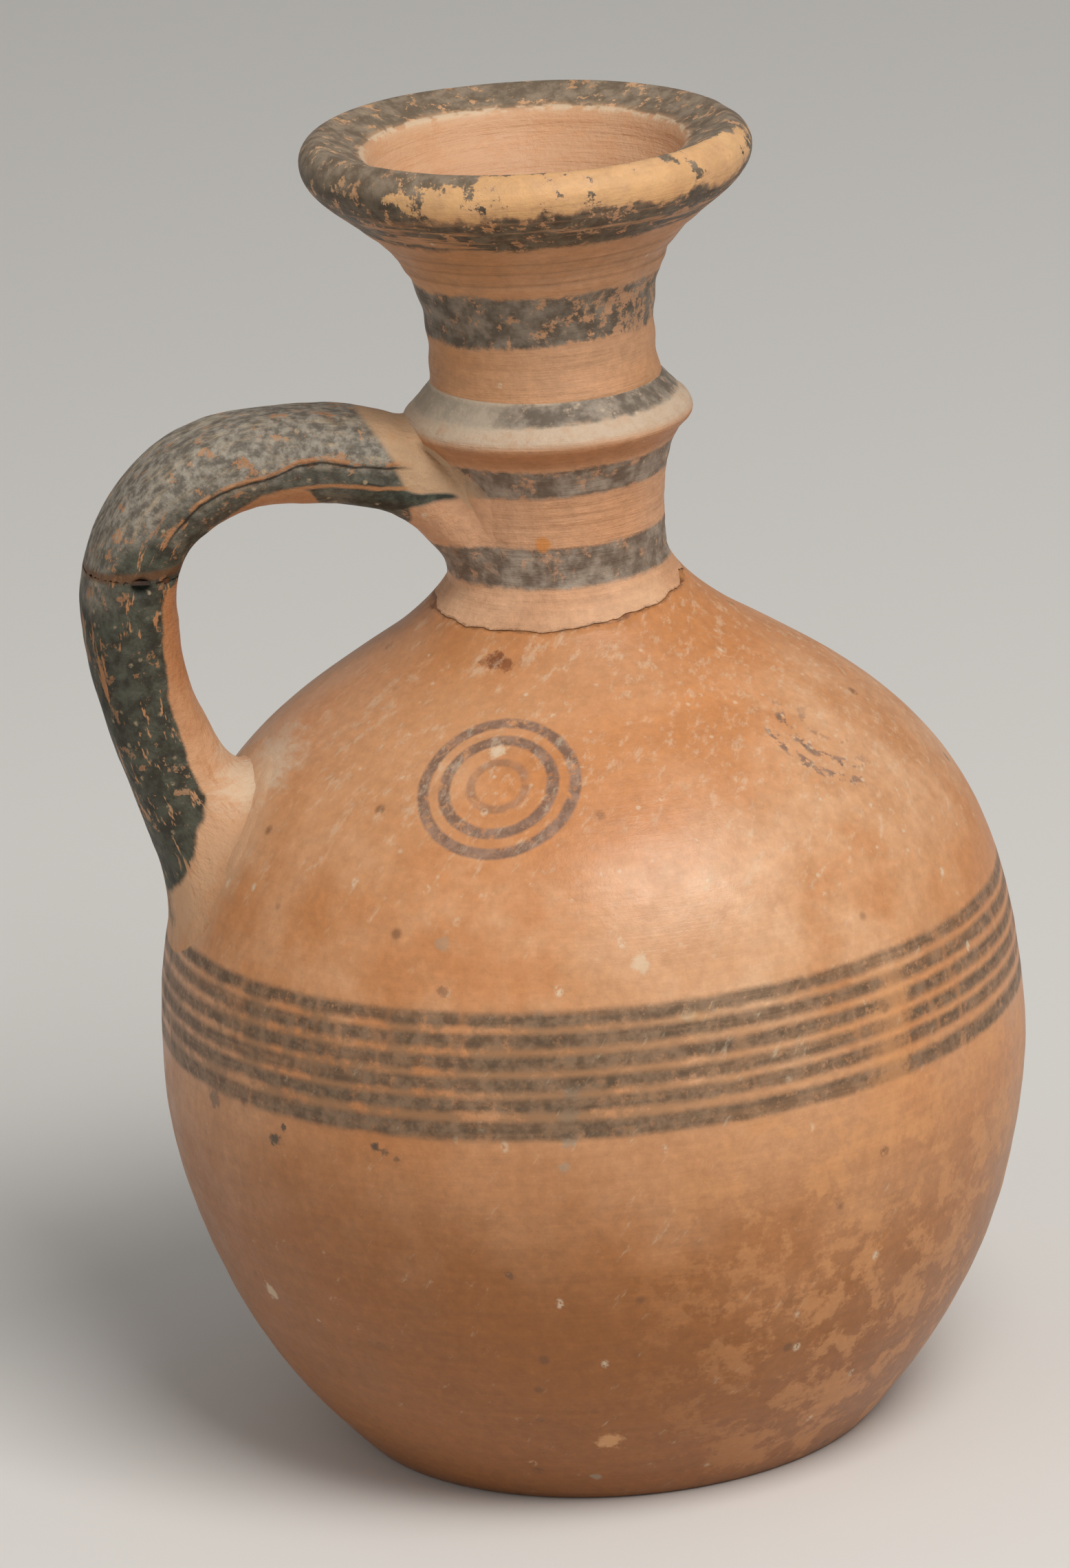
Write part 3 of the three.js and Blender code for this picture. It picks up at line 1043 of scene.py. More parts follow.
@dataclass
class Handle:
    """The strap handle, in the two sherds that its break left."""

    form: HandleForm
    spokes: int = 176
    rows: int = 220
    root_reach: tuple[float, float, float] = (0.5, 1.2, 1.8)
    root_skin_reach: tuple[float, float, float] = (0.25, 1.0, 1.3)
    foot_reach: tuple[float, float, float] = (4.0, 3.0, 2.4)
    foot_skin_reach: tuple[float, float, float] = (3.2, 2.4, 1.5)
    sink: float = 0.12
    cap_inset: float = 0.2
    cap_depth: float = 0.4
    step_height: float = 0.26
    crack: float = 0.1
    kept_past_break: float = 3.0
    near_break: float = 4.0
    chips: tuple[Chip, ...] = (
        Chip(-28.3, -3.9, -0.25, 0.8, 0.7), Chip(-26.4, -3.4, -0.2, 0.6, 0.3),
        Chip(-32.0, -1.6, 0.9, 0.7, 0.25), Chip(-30.9, 3.6, 0.0, 1.1, 0.3),
        Chip(-27.6, 4.0, -0.4, 0.8, 0.35), Chip(-23.7, -4.3, 4.2, 0.4, 0.2))

    def reach(self, sizes: tuple[float, float, float], turn_angle: float) -> float:
        """Gives a fillet's reach at a place round the section.

        Args:
            sizes: The reach on the outer face, at the sides and on the inner face.
            turn_angle: The place round the section.

        Returns:
            The reach there.
        """
        outer, side, inner = sizes
        out = math.sin(turn_angle)
        return side + (outer - side) * max(0.0, out) ** 1.5 + (inner - side) * max(0.0, -out) ** 1.5

    def blank(self, name: str) -> Piece:
        """Makes a plain straight bar of many rows, from a cylinder whose long edges are divided.

        Args:
            name: The bar's name.

        Returns:
            The bar.
        """
        pick_none()
        bpy.ops.mesh.primitive_cylinder_add(vertices=self.spokes, radius=1, depth=1,
                                            end_fill_type="NGON")
        piece = newly_made(name)

        def runs_along(edge: bpy.types.MeshEdge) -> bool:
            """Tells whether an edge runs along the bar."""
            first, second = (piece.data.vertices[index].co.z for index in edge.vertices)
            return abs(first - second) > 0.001

        for cuts in (1, self.rows // 2 - 1):
            choose(piece, MeshPart.EDGE, runs_along)
            bpy.ops.mesh.subdivide(number_cuts=cuts)
            bpy.ops.object.mode_set(mode="OBJECT")
        choose(piece, MeshPart.FACE, lambda face: abs(face.normal.z) > 0.5)
        bpy.ops.mesh.inset(thickness=self.cap_inset)
        bpy.ops.object.mode_set(mode="OBJECT")
        return piece

    def lap(self, share: float, side: float, out: float) -> float:
        """Gives the step of the lapped clay along the handle's front.

        Args:
            share: Place along the handle, from 0 to 1.
            side: Sideways share of the section.
            out: Outward share of the section.

        Returns:
            The step's height there.
        """
        where = ramp(0.145, 0.19, share) * ramp(0.52, 0.42, share)
        edge = float(np.interp(share, *zip(*self.form.crease)))
        step = ramp(edge - 0.04, edge + 0.04, out) * ramp(-0.2, -0.6, side)
        return self.step_height * where * step

    def shape(self, piece: Piece) -> None:
        """Bends the bar into the handle, seats its roots and tags it for its paint.

        Args:
            piece: The bar.
        """
        form = self.form
        root_middle = form.outline.run_at(form.root_height)
        foot_middle = form.outline.run_at(form.foot_height)
        seats: dict[int, tuple[float, float]] = {}
        runs, sides, outs = [], [], []
        for vertex in piece.data.vertices:
            bar = vertex.co.copy()
            turn_angle = math.atan2(bar.y, bar.x) % (2 * math.pi)
            spoke = round(turn_angle / (2 * math.pi) * self.spokes) % self.spokes
            turn_angle = spoke * 2 * math.pi / self.spokes
            if spoke not in seats:
                seats[spoke] = (form.crossing(turn_angle, False), form.crossing(turn_angle, True))
            start, end = seats[spoke]
            run = start + (0.5 - bar.z) * (end - start)
            side, out = form.section(turn_angle)
            place = self.on_handle(run, turn_angle, side, out)
            for corner_run, inward, reaches, skin_reaches, middle in (
                    (start, 1, self.root_reach, self.root_skin_reach, root_middle),
                    (end, -1, self.foot_reach, self.foot_skin_reach, foot_middle)):
                reach = self.reach(reaches, turn_angle)
                gone = (run - corner_run) * inward
                if gone < reach:
                    high = self.on_handle(corner_run + inward * reach, turn_angle, side, out)
                    corner = form.surface(corner_run, turn_angle)
                    beyond = self.reach(skin_reaches, turn_angle)
                    low = form.beside(corner, middle, beyond, -self.sink)
                    share = gone / reach
                    place = low.lerp(corner, share).lerp(corner.lerp(high, share), share)
            if math.hypot(bar.x, bar.y) < 1 - self.cap_inset / 2:
                place = place.lerp(form.centre(0 if bar.z > 0 else form.length), self.cap_depth)
            vertex.co = place * MM
            runs.append(run)
            sides.append(side)
            outs.append(out)
        for name, values in (("along", runs), ("side", sides), ("out", outs)):
            write(piece, name, values)
        piece.data.update()

    def on_handle(self, run: float, turn_angle: float, side: float, out: float) -> Vector:
        """Gives a point of the finished handle, with its lap and its hand-made unevenness.

        Args:
            run: Length along the centreline.
            turn_angle: Place round the section in radians.
            side: Sideways share of the section there.
            out: Outward share of the section there.

        Returns:
            The point.
        """
        form = self.form
        place = form.surface(run, turn_angle)
        facing = (place - form.centre(run)).normalized()
        bar = Vector((run, side * 4, out * 4))
        uneven = 0.16 * grain(bar, 6.0, 1.0) + 0.07 * grain(bar, 2.4, 3.0)
        uneven += 0.03 * grain(bar, 0.9, 4.0) - 0.1
        lap = self.lap(run / form.length, side, out) - 0.5 * self.step_height
        return place + facing * (uneven + lap)

    def cut(self, piece: Piece, keep_upper: bool) -> None:
        """Cuts a sherd off at the break and closes its broken face.

        Args:
            piece: A copy of the whole handle.
            keep_upper: Whether the part above the break is kept.
        """
        form = self.form
        lean = math.tan(math.radians(form.break_slope))
        facing = 1 if keep_upper else -1
        break_run = self.break_run()

        def past_break(point: bpy.types.MeshVertex) -> float:
            """Gives how far a point lies beyond the break, on the side that is cut off."""
            return (piece.data.attributes["along"].data[point.index].value - break_run) * facing

        choose(piece, MeshPart.POINT, lambda point: past_break(point) > self.kept_past_break)
        bpy.ops.mesh.delete(type="VERT")
        bpy.ops.object.mode_set(mode="OBJECT")
        choose(piece, MeshPart.POINT, lambda point: abs(past_break(point)) < self.near_break)
        height = form.break_height + facing * self.crack / 2
        bpy.ops.mesh.bisect(plane_co=(form.centre(break_run).x * MM, 0, height * MM),
                            plane_no=(-lean * facing, 0, -facing),
                            use_fill=True, clear_inner=False, clear_outer=True)
        bpy.ops.object.mode_set(mode="OBJECT")
        smooth(piece)

    def break_run(self) -> float:
        """Gives the length along the centreline at which the handle is broken.

        Returns:
            The length.
        """
        form = self.form
        outer = range(len(form.line) // 3, len(form.line))
        return form.step * min(outer, key=lambda index: abs(form.line[index].z - form.break_height))

    def roughen(self, piece: Piece) -> None:
        """Gives the broken edges their chips.

        Args:
            piece: One of the two sherds.
        """
        form = self.form
        centre = form.centre(self.break_run())

        def wear(place: Vector) -> Vector:
            """Moves a point near the break.

            Args:
                place: The point.

            Returns:
                Its new place.
            """
            away = abs(place.z - form.break_height)
            if away > 5.5 or place.x > centre.x + 6:
                return place
            inward = centre - place
            inward.z = 0
            for chip in self.chips:
                place = place + inward.normalized() * chip.depth_at(place, form.break_height)
            place.z += 0.05 * grain(place, 0.7, 2.0) * ramp(0.6, 0.2, away)
            return place

        reshape(piece, wear)

    def build(self) -> list[Piece]:
        """Makes the upper and the lower sherd.

        Returns:
            The two pieces.
        """
        upper = self.blank("handle_upper_sherd")
        self.shape(upper)
        lower = upper.copy()
        lower.data = upper.data.copy()
        lower.name = lower.data.name = "handle_lower_sherd"
        bpy.context.scene.collection.objects.link(lower)
        for piece, keep_upper in ((upper, True), (lower, False)):
            self.cut(piece, keep_upper)
            self.roughen(piece)
        return [upper, lower]


@dataclass
class HandleGlue:
    """The film of old glue in the handle's break."""

    form: HandleForm
    handle: Handle
    setback: float = 0.12
    thickness: float = 0.3
    rounding: float = 0.06
    spokes: int = 72

    def build(self) -> Piece:
        """Makes the film from a flat disc that fits inside the handle's section.

        Returns:
            The piece.
        """
        pick_none()
        bpy.ops.mesh.primitive_cylinder_add(vertices=self.spokes, radius=1, depth=1,
                                            end_fill_type="NGON")
        piece = newly_made("handle_glue_film")
        bpy.ops.object.mode_set(mode="EDIT")
        bpy.ops.mesh.select_all(action="SELECT")
        bpy.ops.mesh.bevel(offset=self.rounding, segments=2, affect="EDGES")
        bpy.ops.object.mode_set(mode="OBJECT")
        form = self.form
        run = self.handle.break_run()
        lean = math.tan(math.radians(form.break_slope))
        centre = form.centre(run)
        for vertex in piece.data.vertices:
            turn_angle = math.atan2(vertex.co.y, vertex.co.x)
            reach = math.hypot(vertex.co.x, vertex.co.y)
            side, out = form.section(turn_angle)
            edge = self.handle.on_handle(run, turn_angle, side, out)
            place = centre.lerp(edge, reach * (1 - self.setback / (edge - centre).length))
            place.z = form.break_height + vertex.co.z * self.thickness - lean * (place.x - centre.x)
            vertex.co = place * MM
        piece.data.update()
        smooth(piece)
        return piece


@dataclass
class RootClay:
    """A smear of luting clay pressed over the skin beside a root of the handle."""

    name: str
    outline: VesselOutline
    height: float
    edge: Sequence[tuple[float, float]]
    thickness: float
    seed: float
    margin: float = 1.15
    step: float = 0.2
    backing: float = 0.5
    sink: float = 0.25
    unevenness: float = 0.05

    @cached_property
    def reaches(self) -> tuple[np.ndarray, np.ndarray]:
        """The edge as directions from the middle and distances, closed and smooth."""
        points = [Vector(point) for point in self.edge]
        count = len(points)
        smooth_edge = []
        for index in range(count):
            before, here, there, after = (
                points[(index + shift) % count] for shift in (-1, 0, 1, 2))
            leave, arrive = here + (there - before) / 6, there - (after - here) / 6
            smooth_edge += stroke(here, leave, arrive, there, 16)[:-1]
        angles = np.array([math.atan2(point.y, point.x) for point in smooth_edge])
        sizes = np.array([point.length for point in smooth_edge])
        order = np.argsort(angles)
        angles, sizes = angles[order], sizes[order]
        full = 2 * math.pi
        return np.concatenate([angles - full, angles, angles + full]), np.tile(sizes, 3)

    def share_at(self, place: Vector) -> float:
        """Gives how far out a flat point lies, as a share of the way to the edge."""
        return place.length / float(np.interp(math.atan2(place.y, place.x), *self.reaches))

    def build(self) -> Piece:
        """Makes the smear from a flat grid that is trimmed, laid on the skin and thickened.

        Returns:
            The piece.
        """
        wide = self.margin * max(abs(point[0]) for point in self.edge)
        tall = self.margin * max(abs(point[1]) for point in self.edge)
        pick_none()
        bpy.ops.mesh.primitive_grid_add(x_subdivisions=round(2 * wide / self.step),
                                        y_subdivisions=round(2 * tall / self.step), size=2)
        piece = newly_made(self.name)

        def laid(point: bpy.types.MeshVertex) -> Vector:
            """Gives a point's place on the flat smear."""
            return Vector((point.co.x * wide, point.co.y * tall))

        choose(piece, MeshPart.POINT, lambda point: self.share_at(laid(point)) > self.margin)
        bpy.ops.mesh.delete(type="VERT")
        bpy.ops.object.mode_set(mode="OBJECT")
        middle = self.outline.run_at(self.height)
        top = self.outline.table[2][-1] - 0.1
        thick = []
        for vertex in piece.data.vertices:
            place = laid(vertex)
            radius = self.outline.radius_at(self.height + 0.5 * place.y)
            bar = Vector((place.x, place.y, 0))
            share = self.share_at(place) + 0.10 * grain(bar, 1.6, self.seed)
            thick.append(ramp(1.0, 0.6, share))
            lift = self.thickness * (1 - ramp(0.35, 1.0, share))
            lift -= self.sink * ramp(0.8, 1.1, share)
            lift += self.unevenness * grain(bar, 1.1, self.seed + 2)
            run = min(top, middle + place.y)
            vertex.co = self.outline.on_skin(-90 + math.degrees(place.x / radius), run, lift) * MM
        write(piece, "thick", thick)
        piece.data.update()
        solid = piece.modifiers.new("backing", "SOLIDIFY")
        solid.thickness = self.backing * MM
        solid.offset = -1
        bpy.ops.object.modifier_apply(modifier=solid.name)
        smooth(piece)
        return piece


COLLAR_SMEAR_EDGE = ((0, 4.8), (4.6, 4.2), (6.3, 2.5), (7.2, 1.2), (6.3, -0.6), (5.7, -3.9),
                     (0, -5.7), (-5.7, -3.9), (-6.3, 0.0), (-5.0, 3.6))
COLLAR_SMEAR_PALE_FROM = 65.8
SHOULDER_SMEAR_EDGE = ((0, 7.4), (5.6, 5.9), (8.2, 0.4), (6.2, -4.4), (0, -6.2), (-6.0, -4.4),
                       (-7.8, 0.4), (-5.4, 5.9))


# Shader maths


def colour(*parts: float) -> Colour:
    """Turns a screen colour's red, green and blue, from 0 to 255, into a shader's light."""
    values = [part / 255 for part in parts]
    return (*(value / 12.92 if value <= 0.04045 else ((value + 0.055) / 1.055) ** 2.4
              for value in values), 1.0)


class Number:
    """A shader socket that carries a number. Python's operators on it add Math nodes."""

    def __init__(self, shader: "Shader", socket: Socket) -> None:
        """Holds the shader and its socket."""
        self.shader = shader
        self.socket = socket

    def __add__(self, other: "Number | float") -> "Number":
        """Adds."""
        return self.shader.math("ADD", self, other)

    __radd__ = __add__

    def __sub__(self, other: "Number | float") -> "Number":
        """Takes away."""
        return self.shader.math("SUBTRACT", self, other)

    def __rsub__(self, other: "Number | float") -> "Number":
        """Takes this number away from another."""
        return self.shader.math("SUBTRACT", other, self)

    def __mul__(self, other: "Number | float") -> "Number":
        """Multiplies."""
        return self.shader.math("MULTIPLY", self, other)

    __rmul__ = __mul__

    def __abs__(self) -> "Number":
        """Drops the sign."""
        return self.shader.math("ABSOLUTE", self)

    def __or__(self, other: "Number | float") -> "Number":
        """Gives the larger of two masks."""
        return self.shader.math("MAXIMUM", self, other)

    def rise(self, low: float, high: float, start: float = 0.0, end: float = 1.0) -> "Number":
        """Goes smoothly from one value to another.

        Args:
            low: Where the change begins.
            high: Where it ends.
            start: The value up to low.
            end: The value from high.

        Returns:
            The new number.
        """
        node = self.shader.node("ShaderNodeMapRange", {"interpolation_type": "SMOOTHSTEP"},
                                {0: self, 1: low, 2: high, 3: start, 4: end})
        return Number(self.shader, node.outputs[0])

    def fall(self, low: float, high: float) -> "Number":
        """Goes smoothly from 1 up to low down to 0 from high."""
        return self.rise(low, high, 1.0, 0.0)

    def swing(self, size: "Number | float") -> "Number":
        """Turns noise into a change round 0 of a size."""
        return (self - 0.5) * size

    def stripe(self, middle: float, half: float, soft: float) -> "Number":
        """Gives a mask that is 1 within half a width of a value, with soft edges."""
        return abs(self - middle).fall(half - soft, half + soft)

    def curve(self, places: Sequence[tuple[float, float]]) -> "Number":
        """Follows a line through places.

        Args:
            places: Each a value of this number and a height from -1 to 1.

        Returns:
            The line's height at this number.
        """
        stops = [(place, ((height + 1) / 2,) * 3 + (1.0,)) for place, height in places]
        ramp_node = self.shader.node("ShaderNodeValToRGB", {"stops": stops}, {0: self})
        return self.shader.split(ramp_node.outputs[0])[0] * 2.0 - 1.0


def union(masks: Iterable[Number]) -> Number:
    """Joins masks into one."""
    return reduce(or_, masks)


class Shader:
    """A material and the methods that make its nodes."""

    def __init__(self, name: str) -> None:
        """Makes an empty material.

        Args:
            name: Its name.
        """
        self.material = bpy.data.materials.new(name)
        self.material.use_nodes = True
        self.tree = self.material.node_tree
        self.tree.nodes.clear()
        self.seed = 0.0

    def node(self, kind: str, settings: dict[str, Any] | None = None,
             values: dict[int | str, Any] | None = None) -> bpy.types.Node:
        """Makes a node.

        Args:
            kind: The node's type.
            settings: Its own settings, set first. "stops" are a ramp's places and colours.
            values: What its sockets hold or are linked to, by number or name.

        Returns:
            The node.
        """
        made = self.tree.nodes.new(kind)
        for name, value in (settings or {}).items():
            if name == "stops":
                stops = made.color_ramp.elements
                while len(stops) < len(value):
                    stops.new(1.0)
                for stop, (place, shade) in zip(stops, value):
                    stop.position, stop.color = place, shade
            else:
                setattr(made, name, value)
        for key, value in (values or {}).items():
            socket = made.inputs[key]
            source = value.socket if isinstance(value, Number) else value
            if isinstance(source, Socket):
                self.tree.links.new(source, socket)
            else:
                socket.default_value = source
        return made

    def math(self, operation: str, *values: Number | float) -> Number:
        """Adds a Math node and gives its result."""
        made = self.node("ShaderNodeMath", {"operation": operation}, dict(enumerate(values)))
        return Number(self, made.outputs[0])

    def vectors(self, operation: str, values: dict[int | str, Any]) -> bpy.types.Node:
        """Adds a Vector Math node."""
        return self.node("ShaderNodeVectorMath", {"operation": operation}, values)

    def place(self) -> Socket:
        """Gives the point on the piece, in millimetres."""
        spot = self.node("ShaderNodeTexCoord").outputs["Object"]
        return self.vectors("SCALE", {0: spot, "Scale": 1 / MM}).outputs[0]

    def split(self, vector: Socket) -> tuple[Number, Number, Number]:
        """Gives a vector's three numbers."""
        parts = self.node("ShaderNodeSeparateXYZ", values={0: vector})
        return tuple(Number(self, socket) for socket in parts.outputs)

    def joined(self, x: Number | float, y: Number | float, z: Number | float) -> Socket:
        """Joins three numbers into a vector."""
        return self.node("ShaderNodeCombineXYZ", values={0: x, 1: y, 2: z}).outputs[0]

    def stretched(self, vector: Socket, x: float, y: float, z: float) -> Socket:
        """Scales a vector, so that a pattern on it is drawn out where a factor is small."""
        return self.vectors("MULTIPLY", {0: vector, 1: (x, y, z)}).outputs[0]

    def shifted(self, vector: Socket) -> Socket:
        """Moves a vector far off, to a new place for each pattern that is read there.

        Args:
            vector: The vector.

        Returns:
            The moved vector.
        """
        self.seed += 1.0
        move = (17.3 * self.seed, -9.1 * self.seed, 5.7 * self.seed)
        return self.vectors("ADD", {0: vector, 1: move}).outputs[0]

    def tagged(self, name: str) -> Number:
        """Reads a number that is written on the piece."""
        made = self.node("ShaderNodeAttribute", {"attribute_name": name})
        return Number(self, made.outputs["Fac"])

    def noise(self, vector: Socket, scale: float, detail: float = 2.0,
              roughness: float = 0.5) -> Number:
        """Gives noise of its own, mostly from 0.3 to 0.7.

        Args:
            vector: Where it is read.
            scale: How many features a millimetre holds.
            detail: How many finer layers it has.
            roughness: How strong those are.

        Returns:
            The noise.
        """
        made = self.node("ShaderNodeTexNoise", {"noise_dimensions": "3D"}, {
            "Vector": self.shifted(vector), "Scale": scale, "Detail": detail,
            "Roughness": roughness})
        return Number(self, made.outputs[0])

    def specks(self, vector: Socket, scale: float, size: float, share: float) -> Number:
        """Gives scattered spots.

        Args:
            vector: Where they are read.
            scale: How many cells a millimetre holds.
            size: A spot's radius as a share of a cell.
            share: The share of the cells that hold a spot.

        Returns:
            A mask that is 1 on the spots.
        """
        cells = self.node("ShaderNodeTexVoronoi", {"voronoi_dimensions": "3D"},
                          {"Vector": self.shifted(vector), "Scale": scale, "Randomness": 1.0})
        chance = self.split(cells.outputs["Color"])[0]
        near = Number(self, cells.outputs["Distance"]).fall(0.4 * size, size)
        return near * chance.fall(share - 0.02, share + 0.02)

    def near(self, vector: Socket, middle: Vector) -> Number:
        """Gives the distance from a point."""
        made = self.vectors("DISTANCE", {0: vector, 1: tuple(middle)})
        return Number(self, made.outputs["Value"])

    def along(self, vector: Socket, start: Vector, direction: Vector) -> Number:
        """Gives how far a place lies from a start in a direction.

        Args:
            vector: The place.
            start: The point to measure from.
            direction: The direction, of length 1.

        Returns:
            The distance.
        """
        offset = self.vectors("SUBTRACT", {0: vector, 1: tuple(start)}).outputs[0]
        made = self.vectors("DOT_PRODUCT", {0: offset, 1: tuple(direction)})
        return Number(self, made.outputs["Value"])

    def mix(self, share: Number | float, first: Any, second: Any) -> Socket:
        """Mixes two colours, the second by a share."""
        made = self.node("ShaderNodeMix", {"data_type": "RGBA"}, {0: share, 6: first, 7: second})
        return made.outputs[2]

    def shaded(self, base: Any, factor: Number) -> Socket:
        """Multiplies a colour by a number.

        Args:
            base: The colour.
            factor: The number.

        Returns:
            The new colour.
        """
        grey = self.joined(factor, factor, factor)
        made = self.node("ShaderNodeMix", {"data_type": "RGBA", "blend_type": "MULTIPLY"},
                         {0: 1.0, 6: base, 7: grey})
        return made.outputs[2]

    def beside_crack(self, surface: Socket, grit: Number, tint: Colour) -> Socket:
        """Tints a colour beside the neck's break, unevenly by some noise."""
        near = (abs(self.tagged("above_break")) + grit.swing(0.5)).fall(0.0, 0.16)
        return self.mix(near * 0.55, surface, tint)

    def finish(self, base: Any, roughness: Number | float, relief: Number | None,
               gloss: float = 0.35) -> bpy.types.Material:
        """Joins the parts into the finished material.

        Args:
            base: The colour.
            roughness: The roughness.
            relief: The fine height in millimetres.
            gloss: The strength of the surface's gloss.

        Returns:
            The material.
        """
        values = {"Base Color": base, "Roughness": roughness, "Specular IOR Level": gloss}
        if relief is not None:
            bump = {"Strength": 1.0, "Distance": MM, "Height": relief}
            values["Normal"] = self.node("ShaderNodeBump", values=bump).outputs[0]
        surface = self.node("ShaderNodeBsdfPrincipled", values=values)
        self.node("ShaderNodeOutputMaterial", values={0: surface.outputs[0]})
        return self.material


# Finishes


@dataclass(frozen=True)
class Stripe:
    """A painted band, by the height of its middle and half its width."""

    middle: float
    half: float


@dataclass(frozen=True)
class Rings:
    """A painted motif of circles: its direction, its wear, and the place where it is left.

    A circle is given by its radius, half its line's width and the paint's strength.
    """

    direction: float
    worn: float
    left: Vector | None = None
    height: float = 50.2
    radius: float = 19.1
    circles: tuple[tuple[float, float, float], ...] = (
        (5.06, 0.39, 1.0), (3.62, 0.39, 1.0), (1.85, 0.3, 0.55))


@dataclass(frozen=True)
class Stain:
    """A mark on the skin: where it is, how large, its colour and how strong it is."""

    direction: float
    height: float
    size: float
    tint: Colour
    strength: float = 0.8


@dataclass(frozen=True)
class Clay:
    """Orange clay, with the colours that firing and burial gave it; its deep and pale colours also
    serve as painted shade and light where a finish's masks ask for them.
    """

    orange: Colour = colour(198, 132, 80)
    pink: Colour = colour(205, 149, 105)
    deep: Colour = colour(149, 92, 43)
    pale: Colour = colour(224, 186, 150)
    lime: Colour = colour(222, 206, 178)
    dirt: Colour = colour(104, 70, 44)
    seed: float = 0.0

    def ground(self, shader: Shader, place: Socket, low: Number, high: Number) -> Socket:
        """Gives the clay's colour, with its own run of noise, deepened and paled by two masks.

        Args:
            shader: The material.
            place: The point on the piece.
            low: Where it is deeper and browner: the clay's tone and, in some finishes, painted
                shade.
            high: Where it is paler: the clay's tone and, in some finishes, painted light.

        Returns:
            The colour.
        """
        shader.seed = self.seed
        broad = shader.noise(place, 0.06, 2.0)
        cloud = shader.noise(place, 0.18, 3.0, 0.6)
        fine = shader.noise(place, 1.3, 3.0, 0.7)
        base = shader.mix(broad.rise(0.38, 0.62), self.orange, self.pink)
        base = shader.mix((low + cloud.swing(0.75)).rise(0.05, 0.95), base, self.deep)
        base = shader.mix((high + cloud.swing(1.1)).rise(0.18, 1.08, 0.0, 0.8), base, self.pale)
        return shader.shaded(base, fine.swing(0.5) + cloud.swing(0.3) + 1.0)


@dataclass(frozen=True)
class Paint:
    """Dark matt paint, worn thin and broken by scratches."""

    dark: Colour = colour(78, 66, 52)
    grey: Colour = colour(124, 110, 92)
    mottle: float = 0.9
    cover: float = 0.92

    def over(self, shader: Shader, place: Socket, ground: Any, mask: Number) -> Socket:
        """Lays the paint over a ground colour.

        Args:
            shader: The material.
            place: The point on the piece.
            ground: The colour beneath.
            mask: Where the paint lies.

        Returns:
            The colour with the paint.
        """
        blotch = shader.noise(place, self.mottle, 3.0, 0.65)
        tint = shader.mix(blotch.rise(0.35, 0.68), self.dark, self.grey)
        return shader.mix(mask * self.cover, ground, tint)


